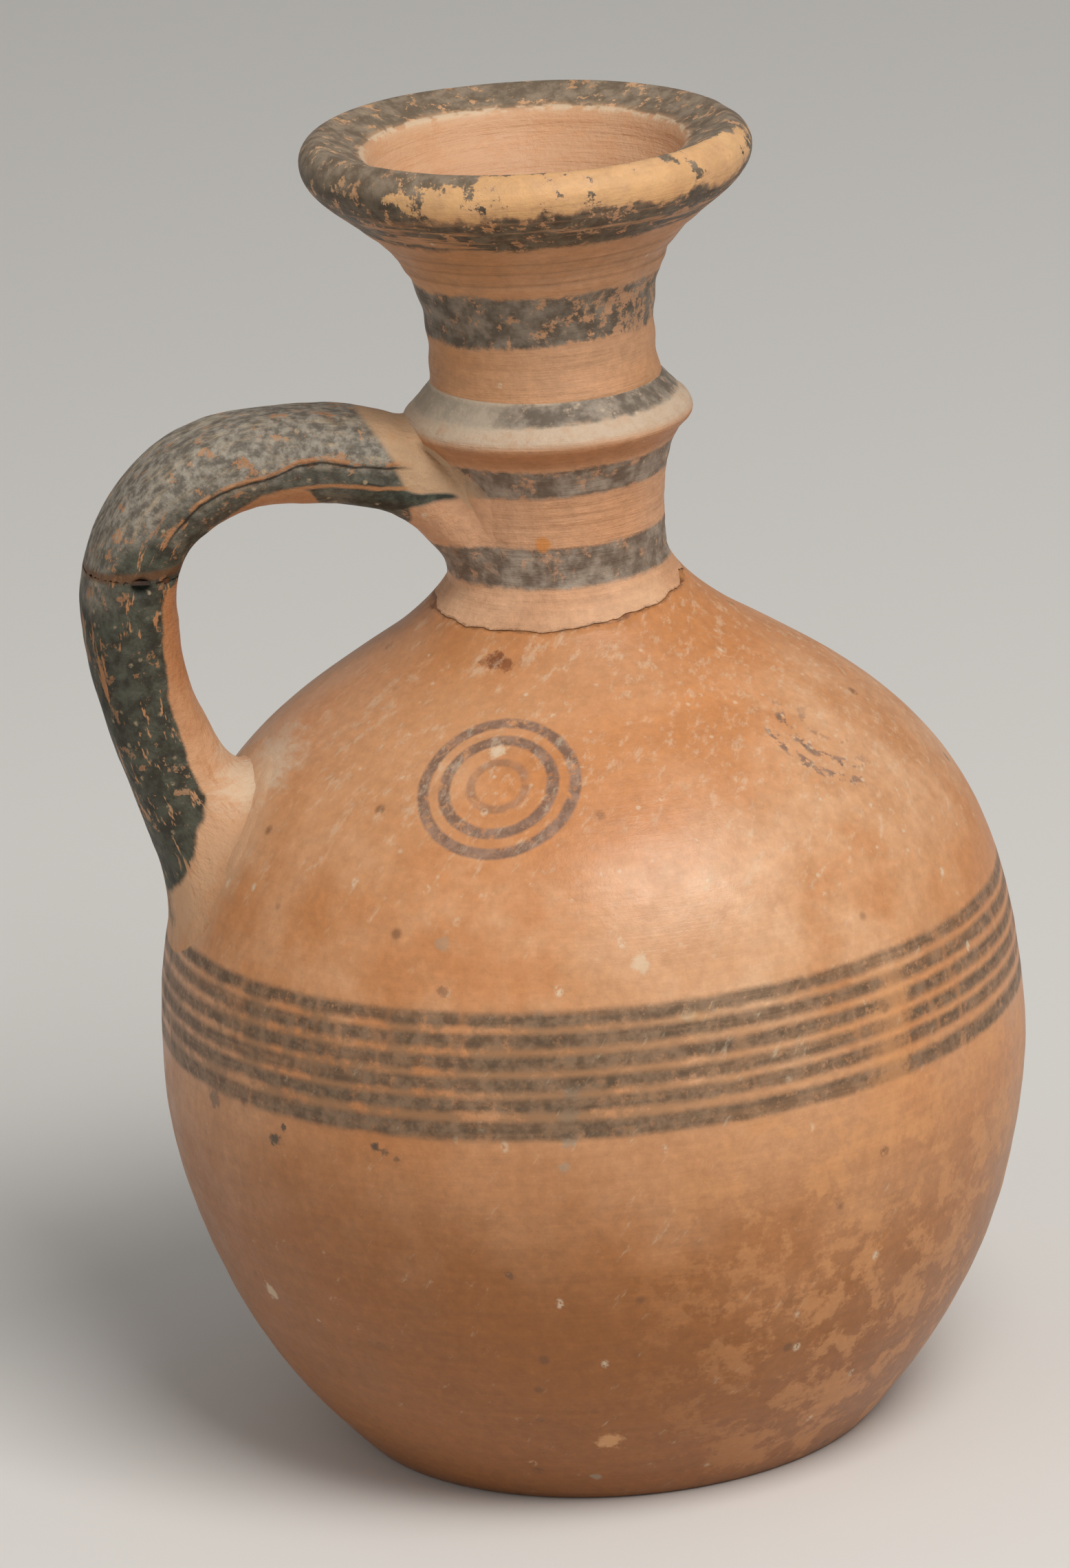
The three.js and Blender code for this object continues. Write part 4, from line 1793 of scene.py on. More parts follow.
@dataclass(frozen=True)
class BodyFinish:
    """The body's burnished clay with its painted lines, circles and marks."""

    outline: VesselOutline
    clay: Clay = Clay()
    paint: Paint = Paint(dark=colour(84, 66, 48), grey=colour(132, 106, 82))
    ring_paint: Paint = Paint(dark=colour(104, 82, 70), grey=colour(150, 120, 102),
                              cover=0.85)
    sandy: Colour = colour(214, 152, 98)
    root_tint: Colour = colour(204, 162, 126)
    chalk: Colour = colour(214, 192, 164)
    wash: Colour = colour(136, 104, 74)
    stripes: tuple[Stripe, ...] = (Stripe(37.25, 0.45), Stripe(35.91, 0.45), Stripe(34.49, 0.46),
                                   Stripe(33.11, 0.46), Stripe(31.76, 0.46), Stripe(30.07, 0.62))
    rings: tuple[Rings, ...] = (
        Rings(-23.7, 0.0), Rings(52.0, 0.75, around(41.5, 19.6, 48.6)),
        Rings(128.0, 0.35), Rings(-156.0, 0.5))
    line_edge: float = 0.26
    circle_edge: float = 0.13
    seed: float = 20.0
    gloss: float = 0.45
    root_height: float = 44.2
    chalk_direction: float = -84.0
    chalk_height: float = 48.4
    streak_top: tuple[float, float] = (34.2, 35.5)
    streak_foot: tuple[float, float] = (31.6, 27.5)

    def stains(self) -> list[Stain]:
        """Lists the single marks on the skin.

        Returns:
            The marks, in the order in which they are laid.
        """
        dark, smoke, lime = colour(62, 58, 48), colour(158, 148, 128), colour(224, 206, 176)
        rust, chip = colour(110, 58, 30), colour(222, 166, 112)
        return [
            Stain(-34.4, 56.0, 0.8, rust, 0.8), Stain(-29.8, 55.8, 0.75, rust, 0.7),
            Stain(-38.5, 55.9, 0.5, rust, 0.5), Stain(-55.3, 27.6, 0.6, dark, 0.85),
            Stain(-53.4, 28.6, 0.35, dark, 0.8), Stain(-38.6, 28.5, 0.45, dark, 0.85),
            Stain(-37.2, 28.2, 0.34, dark, 0.6), Stain(-35.6, 27.8, 0.3, dark, 0.5),
            Stain(-68.6, 28.9, 0.9, dark, 0.55), Stain(-11.8, 32.6, 0.75, smoke, 0.75),
            Stain(-12.2, 31.0, 0.8, smoke, 0.7), Stain(-12.6, 29.4, 0.7, smoke, 0.6),
            Stain(-13.2, 27.6, 0.5, smoke, 0.5), Stain(-15.5, 37.2, 0.7, smoke, 0.4),
            Stain(4.4, 36.7, 0.6, lime, 0.9), Stain(5.6, 36.5, 1.3, chip, 0.6),
            Stain(-1.4, 40.3, 0.8, lime, 0.5), Stain(-29.2, 41.8, 0.6, smoke, 0.4),
            Stain(-28.6, 39.0, 0.5, dark, 0.4), Stain(-25.4, 51.8, 0.65, lime, 0.6),
            Stain(-64.5, 15.3, 0.8, lime, 0.5), Stain(-21.5, 19.9, 0.45, dark, 0.5),
            Stain(-10.5, 5.9, 1.1, chip, 0.7), Stain(-13.9, 2.3, 0.5, smoke, 0.6),
        ]

    def ground(self, shader: Shader, place: Socket) -> Socket:
        """Gives the body's clay, paler round the handle's root, with a painted highlight on the
        side towards the key lamp and painted shade on the left and at the right edge.

        Args:
            shader: The material.
            place: The point on the piece.

        Returns:
            The colour.
        """
        x, y, height = shader.split(place)
        right = x * 0.033 - y * 0.01
        # Deeper towards the base and near the neck; deeper on the left, partly the clay's own tone
        # and partly painted shade on the side away from the key lamp.
        low = height.rise(42.0, 9.0) - right * 0.1 - right.rise(0.0, 0.6, 0.0, 0.14)
        low = low + height.rise(50.0, 57.0, 0.0, 0.35)
        # A painted highlight: paler clay on the upper body towards the key lamp; the far right edge
        # is kept less pale as painted shade.
        painted_lit_side = right.stripe(0.58, 0.14, 0.28) * 0.34 * height.rise(20.0, 40.0)
        high = height.stripe(41.0, 9.0, 8.0) * 0.4 + painted_lit_side - right.rise(0.8, 1.0, 0.0, 0.35)
        base = self.clay.ground(shader, place, low, high)
        middle = self.outline.spot(-90, self.root_height)
        ragged = shader.noise(place, 0.45, 3.0, 0.65)
        root = (shader.near(place, middle) + ragged.swing(7.0)).rise(5.5, 10.5, 0.8, 0.0)
        base = shader.mix(root, base, self.root_tint)
        away = shader.near(place, self.outline.spot(self.chalk_direction, self.chalk_height))
        drawn = shader.noise(shader.stretched(place, 0.5, 0.5, 1.6), 0.8, 4.0, 0.72)
        chalk = (away + drawn.swing(9.0)).rise(1.2, 4.6, 0.8, 0.0)
        return shader.mix(chalk, base, self.chalk)

    def material(self) -> bpy.types.Material:
        """Makes the body's material.

        Returns:
            The material.
        """
        shader = Shader("burnished_body_clay")
        place = shader.place()
        x, y, height = shader.split(place)
        right = x * 0.033 - y * 0.01
        base = self.ground(shader, place)
        shader.seed = self.seed
        ring = shader.stretched(place, 0.05, 0.05, 1.0)
        fall = shader.stretched(place, 1.0, 1.0, 0.3)
        flaky = shader.noise(place, 0.3, 5.0, 0.72)
        flakes = flaky.rise(0.475, 0.585) * right.rise(0.0, 0.65) * height.rise(46.0, 26.0)
        base = shader.mix(flakes * 0.55, base, self.sandy)
        streak = self.abrasion(shader, place, flaky)
        base = shader.mix(streak * 0.55, base, self.sandy)
        wheel = shader.noise(ring, 1.6, 3.0, 0.7)
        base = shader.shaded(base, wheel.swing(height.rise(40.0, 20.0, 0.16, 0.3)) + 1.0)
        speckle = shader.noise(place, 1.5, 3.0, 0.75)
        base = shader.shaded(base, speckle.swing(height.rise(50.0, 25.0, 0.12, 0.3)) + 1.0)
        for stain in self.stains():
            middle = self.outline.spot(stain.direction, stain.height)
            away = shader.near(place, middle) + speckle.swing(2.0) * stain.size
            mark = away.rise(0.45 * stain.size, stain.size, stain.strength, 0.0)
            base = shader.mix(mark, base, stain.tint)
        wander = flaky.swing(0.4) + speckle.swing(0.35)
        scrapes = shader.noise(fall, 0.5, 2.0, 0.7)
        lines = self.line_mask(height + wander, speckle, wheel, scrapes, streak)
        washed = height.stripe(33.5, 3.9, 0.8) * (flaky + right * 0.1).rise(0.37, 0.52)
        base = shader.mix(washed * right.rise(0.8, 0.0) * 0.68, base, self.wash)
        surface = self.paint.over(shader, place, base, lines)
        circles = self.ring_mask(shader, place, speckle, wander)
        surface = self.ring_paint.over(shader, place, surface, circles)
        field = shader.noise(place, 0.1, 2.0).rise(0.4, 0.6)
        lime = shader.specks(shader.stretched(place, 1.0, 1.0, 0.7), 0.7, 0.26, 0.05)
        surface = shader.mix(lime * speckle.rise(0.42, 0.56) * 0.65, surface, self.clay.lime)
        pits = shader.specks(place, 0.3, 0.16, 0.2) * speckle.rise(0.38, 0.5)
        surface = shader.mix(pits * 0.6, surface, self.clay.dirt)
        slanted = shader.joined((x * 0.6 + height * 0.8) * 0.45,
                                (x * -0.8 + height * 0.6) * 1.7, y * 1.2)
        scuffed = (height + right * 3.0).rise(38.0, 50.0, 0.0, 0.09) + field * 0.03
        scuffs = (shader.noise(slanted, 0.8, 4.0, 0.75) + scuffed).rise(0.62, 0.8)
        surface = shader.mix(scuffs * 0.32, surface, self.clay.lime)
        flecks = shader.specks(place, 0.9, 0.2, 0.35) * (height + right * 6.0).rise(38.0, 48.0)
        surface = shader.mix(flecks * speckle.rise(0.4, 0.52) * 0.45, surface, self.clay.lime)
        surface = shader.beside_crack(surface, speckle, self.clay.dirt)
        rough = flaky.rise(0.3, 0.7, 0.34, 0.46) + (lines | circles) * 0.12 + scuffs * 0.2
        skin = shader.noise(place, 2.0, 3.0, 0.7)
        relief = skin.swing(0.03) + wheel.swing(0.03)
        return shader.finish(surface, rough, relief, self.gloss)

    def abrasion(self, shader: Shader, place: Socket, uneven: Number) -> Number:
        """Gives the worn streak that crosses the lines and runs on below them.

        Args:
            shader: The material.
            place: The point on the piece.
            uneven: Noise that makes its edges ragged.

        Returns:
            The mask.
        """
        upper, lower = (self.outline.spot(*end) for end in (self.streak_top, self.streak_foot))
        course = (lower - upper).normalized()
        across = shader.along(place, upper, course.cross(upper).normalized())
        down = shader.along(place, upper, course)
        width = abs(across + uneven.swing(9.0)).fall(0.3, 2.2)
        length = down.rise(-2.5, -0.5) * down.rise(14.0, 7.0)
        length = length * shader.near(place, upper).rise(20.0, 16.0)
        return width * length * uneven.rise(0.36, 0.5, 0.3, 1.0)

    def line_mask(self, level: Number, speckle: Number, wheel: Number, scrapes: Number,
                  streak: Number) -> Number:
        """Gives where the six lines' paint is left.

        Args:
            level: The height with the brush's wandering.
            speckle: Fine noise that breaks the paint.
            wheel: Noise that runs round the vessel.
            scrapes: Noise that runs up the vessel.
            streak: The worn streak.

        Returns:
            The mask.
        """
        lines = union(level.stripe(stripe.middle, stripe.half, self.line_edge)
                      for stripe in self.stripes)
        patchy = wheel.rise(0.3, 0.6, 0.75, 1.0) * speckle.rise(0.3, 0.48, 0.5, 1.0)
        return lines * patchy * scrapes.rise(0.56, 0.7, 1.0, 0.62) * (1.0 - streak * 0.5)

    def ring_mask(self, shader: Shader, place: Socket, speckle: Number,
                  wander: Number) -> Number:
        """Gives where the circles' paint is left.

        Args:
            shader: The material.
            place: The point on the piece.
            speckle: Fine noise that breaks the paint.
            wander: How the brush strays.

        Returns:
            The mask.
        """
        wear = shader.noise(place, 0.9, 3.0, 0.7)
        circles = []
        for motif in self.rings:
            middle = around(motif.direction, motif.radius, motif.height)
            away = shader.near(place, middle) + wander * 0.5
            for radius, half, strength in motif.circles:
                circle = away.stripe(radius, half, self.circle_edge) * strength
                circle = circle * wear.rise(0.26 + 0.28 * motif.worn, 0.44 + 0.18 * motif.worn)
                if motif.left is not None:
                    kept = (shader.near(place, motif.left) + wander * 6.0).fall(3.2, 5.2)
                    circle = circle * kept
                circles.append(circle)
        return union(circles) * speckle.rise(0.36, 0.46, 0.5, 1.0)


@dataclass(frozen=True)
class NeckFinish:
    """The neck's clay, with its painted bands, painted shade under its collar, and the top face of
    its collar, dusty and paled by painted top light.
    """

    clay: Clay = Clay(orange=colour(192, 138, 98), pink=colour(204, 156, 120),
                      deep=colour(156, 104, 66), pale=colour(216, 178, 142), seed=50.0)
    paint: Paint = Paint(dark=colour(88, 80, 70), grey=colour(152, 140, 126), mottle=0.65,
                         cover=0.9)
    stripes: tuple[Stripe, ...] = (Stripe(61.15, 1.35), Stripe(67.0, 1.0), Stripe(71.75, 0.62))
    # Pale dust colour, also painted light on the collar's upward top face and its lit nose.
    dust_and_top_light: Colour = colour(196, 180, 158)
    blob: tuple[float, float, float] = (-17.1, 7.3, 62.8)
    blob_tint: Colour = colour(206, 132, 62)
    band_edge: float = 0.18
    gloss: float = 0.3

    def surface(self, shader: Shader, place: Socket) -> tuple[Socket, Number]:
        """Gives the neck's painted colour, also for what is smoothed onto it.

        Args:
            shader: The material.
            place: The point on the piece.

        Returns:
            The colour and the noise of the wheel marks.
        """
        x, _, height = shader.split(place)
        ring = shader.stretched(place, 0.06, 0.06, 1.0)
        # Painted shade: deeper, browner clay in the band just under the collar's overhang.
        painted_collar_shade = height.rise(67.6, 68.6) * height.rise(70.1, 69.6)
        base = self.clay.ground(shader, place, painted_collar_shade * 0.55,
                                height.rise(62.0, 57.5, 0.2, 0.5))
        wheel = shader.noise(ring, 2.4, 4.0, 0.7)
        base = shader.shaded(base, wheel.swing(0.32) + 1.0)
        grit = shader.noise(place, 1.1, 4.0, 0.75)
        outside = 1.0 - shader.tagged("inner")
        # The collar's top and nose: real dust, and paler as painted top light.
        dusty_lit_top = height.rise(69.6, 70.4) * grit.rise(0.3, 0.55, 0.6, 1.0) * outside
        base = shader.mix(dusty_lit_top * 0.8, base, self.dust_and_top_light)
        base = shader.shaded(base, grit.swing(0.3) + 1.0)
        level = height + grit.swing(0.6) + wheel.swing(0.4)
        mask = union(level.stripe(stripe.middle, stripe.half, self.band_edge)
                     for stripe in self.stripes)
        wear = shader.noise(place, 0.7, 4.0, 0.75)
        mask = mask * wear.rise(0.34, 0.46, 0.35, 1.0) * outside
        surface = self.paint.over(shader, place, base, mask)
        covered = height.rise(70.5, 71.2) * (x + grit * 2.0).rise(-2.0, -4.5) * outside * 0.6
        surface = shader.mix(covered, surface, self.dust_and_top_light)
        flecks = shader.specks(place, 0.5, 0.13, 0.2) * grit.rise(0.4, 0.55)
        surface = shader.mix(flecks * 0.6, surface, self.clay.lime)
        blob = shader.near(place, around(*self.blob)) + grit.swing(1.2)
        return shader.mix(blob.rise(0.3, 0.7, 0.8, 0.0), surface, self.blob_tint), wheel

    def material(self) -> bpy.types.Material:
        """Makes the neck's material.

        Returns:
            The material.
        """
        shader = Shader("neck_clay")
        place = shader.place()
        surface, wheel = self.surface(shader, place)
        grit = shader.noise(place, 2.4, 3.0, 0.7)
        surface = shader.beside_crack(surface, grit, self.clay.dirt)
        rough = shader.noise(place, 0.5, 2.0).rise(0.3, 0.7, 0.5, 0.66)
        return shader.finish(surface, rough, grit.swing(0.07) + wheel.swing(0.13), self.gloss)


@dataclass(frozen=True)
class MouthFinish:
    """The mouth's clay, with its painted band, its heavily painted, worn lip, painted shade under
    the lip and in its wheel grooves, and painted light on the lip's top.
    """

    clay: Clay = Clay(orange=colour(194, 140, 96), pink=colour(202, 152, 114),
                      deep=colour(150, 102, 64), pale=colour(222, 182, 140), seed=80.0)
    band_paint: Paint = Paint(dark=colour(80, 72, 61), grey=colour(134, 122, 107), mottle=0.7,
                              cover=0.95)
    lip_paint: Paint = Paint(dark=colour(56, 50, 40), grey=colour(98, 88, 72), mottle=0.9,
                             cover=0.95)
    # The lip's paint as seen on its top face: paler than lip_paint, as painted top light.
    top_paint: Paint = Paint(dark=colour(96, 86, 72), grey=colour(142, 128, 110), mottle=0.8,
                             cover=0.92)
    sandy: Colour = colour(224, 176, 118)
    inside: Colour = colour(212, 166, 128)
    band: Stripe = Stripe(77.85, 1.75)
    lip_low: float = 83.6
    rim_low: float = 86.6
    lip_middle: float = 13.2
    bare_direction: float = 29.0
    grooves: tuple[float, ...] = (80.6, 81.5, 82.3)
    groove_half: float = 0.06
    groove_edge: float = 0.16
    band_edge: float = 0.2
    gloss: float = 0.32

    def material(self) -> bpy.types.Material:
        """Makes the mouth's material.

        Returns:
            The material.
        """
        shader = Shader("mouth_clay")
        place = shader.place()
        x, y, height = shader.split(place)
        inner = shader.tagged("inner")
        ring = shader.stretched(place, 0.06, 0.06, 1.0)
        # Painted shade: deeper clay under the overhanging lip; the paler clay towards the rim's top
        # is painted top light.
        painted_lip_shade = height.rise(74.0, 83.0, 0.0, 0.45) * height.rise(86.0, 84.5)
        base = self.clay.ground(shader, place, painted_lip_shade, height.rise(86.0, 88.0, 0.1, 0.6))
        wheel = shader.noise(ring, 2.0, 4.0, 0.7)
        # Wheel marks as colour; stronger on the flare under the lip, as painted light and shade of
        # its wheel ridges.
        base = shader.shaded(base, wheel.swing(height.rise(78.5, 80.5, 0.3, 0.5)) + 1.0)
        base = shader.mix(inner * 0.75, base, self.inside)
        outer = 1.0 - inner
        # Darker lines in the wheel grooves: painted shade; the same mask also sinks the relief
        # below.
        groove = union((height + wheel.swing(0.3)).stripe(level, self.groove_half, self.groove_edge)
                       for level in self.grooves) * outer
        base = shader.shaded(base, groove * -0.22 + 1.0)
        grit = shader.noise(place, 1.0, 4.0, 0.75)
        patch = shader.noise(place, 0.24, 3.0, 0.6)
        level = height + grit.swing(1.1) + patch.swing(1.0)
        band = level.stripe(self.band.middle, self.band.half, self.band_edge)
        right = x * 0.06 - y * 0.04
        band = band * (grit + right.rise(0.0, 0.6, 0.0, -0.1)).rise(0.34, 0.44, 0.2, 1.0) * outer
        surface = self.band_paint.over(shader, place, base, band)
        chosen = around(self.bare_direction, 1.0, 0.0)
        facing = (x * chosen.x + y * chosen.y) * 0.08
        outwards = shader.near(shader.joined(x, y, 0.0), Vector((0, 0, 0))) - self.lip_middle
        worn = (facing + outwards * 0.3 + patch.swing(1.3) + grit.swing(0.9)).rise(0.9, 1.0)
        worn = worn * (level + patch.swing(1.6)).rise(self.rim_low - 0.3, self.rim_low + 0.3)
        worn = worn * (patch + grit.swing(0.8)).rise(0.35, 0.4)
        surface = shader.mix(worn * outer * grit.rise(0.3, 0.6, 0.2, 0.6), surface, self.sandy)
        streaks = wheel.rise(0.5, 0.6) * height.rise(87.0, 84.5)
        chips = grit.rise(0.55, 0.62)
        lip = level.rise(self.lip_low - 0.2, self.lip_low + 0.25) * outer
        lip = lip * (1.0 - worn) * (1.0 - (streaks * 0.8 | chips * 0.85))
        # The same paint twice: darker on the lip's side, paler on its top as painted top light.
        side = self.lip_paint.over(shader, place, surface, lip)
        above = self.top_paint.over(shader, place, surface, lip)
        surface = shader.mix(height.rise(87.3, 88.3), side, above)
        smudge = shader.noise(shader.stretched(place, 0.5, 0.5, 1.0), 0.8, 3.0, 0.7)
        edge = inner.stripe(0.35, 0.3, 0.1) * smudge.rise(0.48, 0.56)
        surface = shader.mix(edge * 0.6, surface, self.top_paint.dark)
        rubbed = inner.stripe(0.75, 0.2, 0.1) * smudge.rise(0.56, 0.48)
        surface = shader.mix(rubbed * 0.5, surface, self.clay.lime)
        flecks = shader.specks(place, 0.5, 0.13, 0.2) * grit.rise(0.4, 0.55)
        surface = shader.mix(flecks * 0.5, surface, self.clay.lime)
        rough = patch.rise(0.3, 0.7, 0.46, 0.62)
        fine = shader.noise(place, 2.4, 3.0, 0.7)
        relief = fine.swing(0.07) + wheel.swing(height.rise(86.5, 88.0, 0.15, 0.03))
        relief = relief - groove * 0.09
        return shader.finish(surface, rough, relief, self.gloss)


@dataclass(frozen=True)
class HandleFinish:
    """The handle's paint: grey on the arch's top, worn and also paled there as painted top light;
    dark on the sides and lower down, partly as painted shade; scratched to orange clay below.
    """

    body: BodyFinish
    neck: NeckFinish
    clay: Clay = Clay(orange=colour(178, 122, 80), pink=colour(190, 142, 104),
                      deep=colour(150, 96, 58), seed=110.0)
    # Grey paint on the arch's top, partly worn and partly painted top light; dark paint on the
    # sides and lower down, partly painted shade.
    above: Paint = Paint(dark=colour(96, 91, 82), grey=colour(154, 147, 134), mottle=1.6,
                         cover=0.96)
    below: Paint = Paint(dark=colour(38, 42, 35), grey=colour(74, 78, 66), mottle=0.9,
                         cover=0.97)
    scratch: Colour = colour(184, 128, 84)
    beige: Colour = colour(196, 172, 138)
    wedge: Colour = colour(188, 154, 120)
    # Painted shade for the gap under the lapped clay.
    gap: Colour = colour(40, 34, 26)
    bare_edge: tuple[tuple[float, float], ...] = (
        (0.15, -1.0), (0.255, -1.0), (0.275, -0.55), (0.294, -0.46), (0.335, -0.55),
        (0.361, -0.67), (0.399, -0.86), (0.451, -0.92), (0.54, -0.94), (0.553, -0.8),
        (0.558, -0.63), (0.6, -0.57), (0.67, -0.49), (0.749, -0.36), (0.797, -0.29),
        (0.845, -0.24), (0.864, 0.0), (0.878, 0.26), (0.898, 0.5), (0.912, 0.78), (0.925, 1.0))
    second_crease: tuple[tuple[float, float], ...] = (
        (0.14, -0.1), (0.153, -0.16), (0.186, -0.34), (0.25, -0.39), (0.294, -0.46),
        (0.335, -0.55))
    chip: tuple[float, float, float] = (-28.3, -3.9, -0.3)
    gloss: float = 0.3

    def material(self, form: HandleForm, break_run: float) -> bpy.types.Material:
        """Makes the handle's material.

        Args:
            form: The handle's form.
            break_run: Length along the centreline to the break.

        Returns:
            The material.
        """
        shader = Shader("handle_paint")
        place = shader.place()
        height = shader.split(place)[2]
        run, side, out = (shader.tagged(name) for name in ("along", "side", "out"))
        share = run * (1 / form.length)
        low_ground = self.body.ground(shader, place)
        neck_ground, _ = self.neck.surface(shader, place)
        bar = shader.joined(run, side * (form.width / 2), out * (form.thickness / 2))
        drawn = shader.stretched(bar, 0.3, 1.0, 1.0)
        base = self.clay.ground(shader, place, share.stripe(0.5, 0.2, 0.15) * 0.4,
                                share.rise(0.6, 0.8, 0.0, 0.5))
        base = shader.mix(share.rise(0.72, 0.86), base, low_ground)
        mottle = shader.noise(bar, 0.8, 4.0, 0.75)
        drift = shader.noise(bar, 0.3, 2.0)
        dashes = shader.noise(drawn, 1.0, 4.0, 0.72)
        wander = drift.swing(0.22) + mottle.swing(0.16)
        mask = (out + wander - share.curve(self.bare_edge)).rise(-0.05, 0.05)
        start = (share + out * -0.055 + wander * 0.06).rise(0.158, 0.17)
        stripe_top = share.rise(0.089, 0.145, 0.28, -0.2) + wander * 0.4
        under = (out - stripe_top).rise(0.05, -0.05)
        stripe = under * (out + share * 18.0 - 1.87 + wander).rise(-0.1, 0.1)
        stripe = stripe * share.rise(0.27, 0.2) * share.rise(0.085, 0.1)
        near_neck = share.rise(0.25, 0.21)
        arch = share.rise(0.2, 0.16) * under
        base = shader.mix(near_neck, base, shader.shaded(self.wedge, mottle.swing(0.5) + 1.0))
        base = shader.mix(arch, base, neck_ground)
        chips = mottle.rise(0.585, 0.635)
        lines = dashes.rise(0.58, 0.63)
        # Where the dark paint lies: lower down the handle and on its front side below the crease,
        # partly the paint's own colour and partly painted shade.
        dark_paint_and_shade = (share - out * 0.1 + drift.swing(0.3)).rise(0.4, 0.56)
        front = (out - share.curve(form.crease)).rise(0.0, -0.25) * side.rise(0.0, -0.4)
        dark_paint_and_shade = dark_paint_and_shade | front * 0.75 | stripe
        wear = chips * dark_paint_and_shade.rise(0.0, 1.0, 0.6, 0.4) | lines * dark_paint_and_shade * 0.8
        wear = wear * (1.0 - stripe)
        mask = (mask * start | stripe) * (1.0 - wear)
        # Lit and shaded copies of the paint: grey above, dark on the sides and lower down.
        upper = self.above.over(shader, bar, base, mask)
        lower = self.below.over(shader, bar, base, mask)
        surface = shader.mix(dark_paint_and_shade, upper, lower)
        brushed = shader.noise(shader.stretched(bar, 0.35, 1.4, 1.4), 1.1, 4.0, 0.72)
        brushed = brushed.rise(0.5, 0.66) * mask * (1.0 - dark_paint_and_shade)
        surface = shader.mix(brushed * 0.35, surface, self.beige)
        flecks = shader.specks(bar, 1.3, 0.3, 0.4) * mottle.rise(0.4, 0.55)
        surface = shader.mix(flecks * mask * 0.55, surface, self.beige)
        surface = shader.mix(wear * 0.5, surface, self.scratch)
        surface = self.creases(shader, form, surface, share, side, out, mottle)
        crack = abs(height - form.break_height - 0.4).fall(0.1, 0.5)
        crack = crack * run.stripe(break_run, 2.4, 0.4)
        surface = shader.mix(crack * 0.8, surface, self.body.clay.dirt)
        chip_x, chip_y, above_break = self.chip
        chip = Vector((chip_x, chip_y, form.break_height + above_break))
        away = shader.near(place, chip) + mottle.swing(0.6)
        surface = shader.mix(away.rise(0.35, 0.75, 0.9, 0.0), surface, self.below.dark)
        rough = drift.rise(0.3, 0.7, 0.5, 0.68)
        grit = shader.noise(bar, 1.8, 3.0, 0.7)
        relief = grit.swing(0.12) + mottle.swing(0.12)
        return shader.finish(surface, rough, relief, self.gloss)

    def creases(self, shader: Shader, form: HandleForm, surface: Any, share: Number,
                side: Number, out: Number, mottle: Number) -> Socket:
        """Draws the worn edge of the lapped clay with painted shade in the gap under it, and the
        worn line below.

        Args:
            shader: The material.
            form: The handle's form.
            surface: The colour to draw on.
            share: Place along the handle, from 0 to 1.
            side: Sideways share of the section.
            out: Outward share of the section.
            mottle: Noise that makes the lines uneven.

        Returns:
            The colour with the lines.
        """
        seen = side.rise(-0.3, -0.6)
        away = out - share.curve(form.crease) + mottle.swing(0.1)
        length = share.rise(0.15, 0.18) * share.rise(0.52, 0.46)
        worn = away.stripe(0.05, 0.05, 0.03) * length * seen * mottle.rise(0.42, 0.5)
        # Painted shade: a dark line in the gap under the lapped clay's edge.
        gap = away.stripe(-0.04, 0.03, 0.02) * length * seen
        surface = shader.mix(worn * 0.75, surface, self.scratch)
        surface = shader.mix(gap * 0.8, surface, self.gap)
        second = out - share.curve(self.second_crease) + mottle.swing(0.08)
        line = second.stripe(0.0, 0.045, 0.03) * share.rise(0.14, 0.16) * share.rise(0.34, 0.3)
        return shader.mix(line * seen * 0.8, surface, self.scratch)


@dataclass(frozen=True)
class GlueFinish:
    """Aged brown glue."""

    name: str = "aged_glue"
    dark: Colour = colour(118, 72, 40)
    amber: Colour = colour(182, 122, 70)
    gloss: float = 0.4

    def material(self) -> bpy.types.Material:
        """Makes the glue's material.

        Returns:
            The material.
        """
        shader = Shader(self.name)
        cloud = shader.noise(shader.place(), 0.9, 3.0)
        surface = shader.mix(cloud.rise(0.35, 0.65), self.dark, self.amber)
        rough = cloud.rise(0.3, 0.7, 0.35, 0.55)
        return shader.finish(surface, rough, cloud * 0.05, self.gloss)


SMEAR_ROUGHNESS = 0.62
SMEAR_GLOSS = 0.3


def smear_material(finish: BodyFinish | NeckFinish, name: str, pale: Colour,
                   low: float) -> bpy.types.Material:
    """Makes the finish of luting clay that is smoothed onto the body or the neck.

    Args:
        finish: The finish of what it is smoothed onto.
        name: The material's name.
        pale: Its own paler colour, which shows in patches.
        low: The height from which that colour shows.

    Returns:
        The material.
    """
    shader = Shader(name)
    place = shader.place()
    on_body = isinstance(finish, BodyFinish)
    base = finish.ground(shader, place) if on_body else finish.surface(shader, place)[0]
    grit = shader.noise(place, 1.2, 4.0, 0.7)
    height = shader.split(place)[2]
    own = shader.tagged("thick") * grit.rise(0.3, 0.5, 0.4, 1.0)
    own = own * (height + (grit - 0.5)).rise(low - 0.2, low + 0.2)
    base = shader.mix(own, base, pale)
    return shader.finish(base, SMEAR_ROUGHNESS, grit.swing(0.1), SMEAR_GLOSS)


@dataclass(frozen=True)
class Lamp:
    """A soft square lamp that faces the juglet: its place and size in degrees and metres."""

    name: str
    direction: float
    elevation: float
    distance: float
    size: float
    power: float
    tint: tuple[float, float, float]

    def hang(self, middle: Vector) -> None:
        """Hangs the lamp.

        Args:
            middle: The point in metres that it faces.
        """
        light = bpy.data.lights.new(self.name, "AREA")
        light.size, light.energy, light.color = self.size, self.power, self.tint
        lamp = bpy.data.objects.new(self.name, light)
        bpy.context.scene.collection.objects.link(lamp)
        raised = math.radians(self.elevation)
        lamp.location = middle + around(self.direction, self.distance * math.cos(raised),
                                        self.distance * math.sin(raised))
        lamp.rotation_euler = (middle - lamp.location).to_track_quat("-Z", "Y").to_euler()


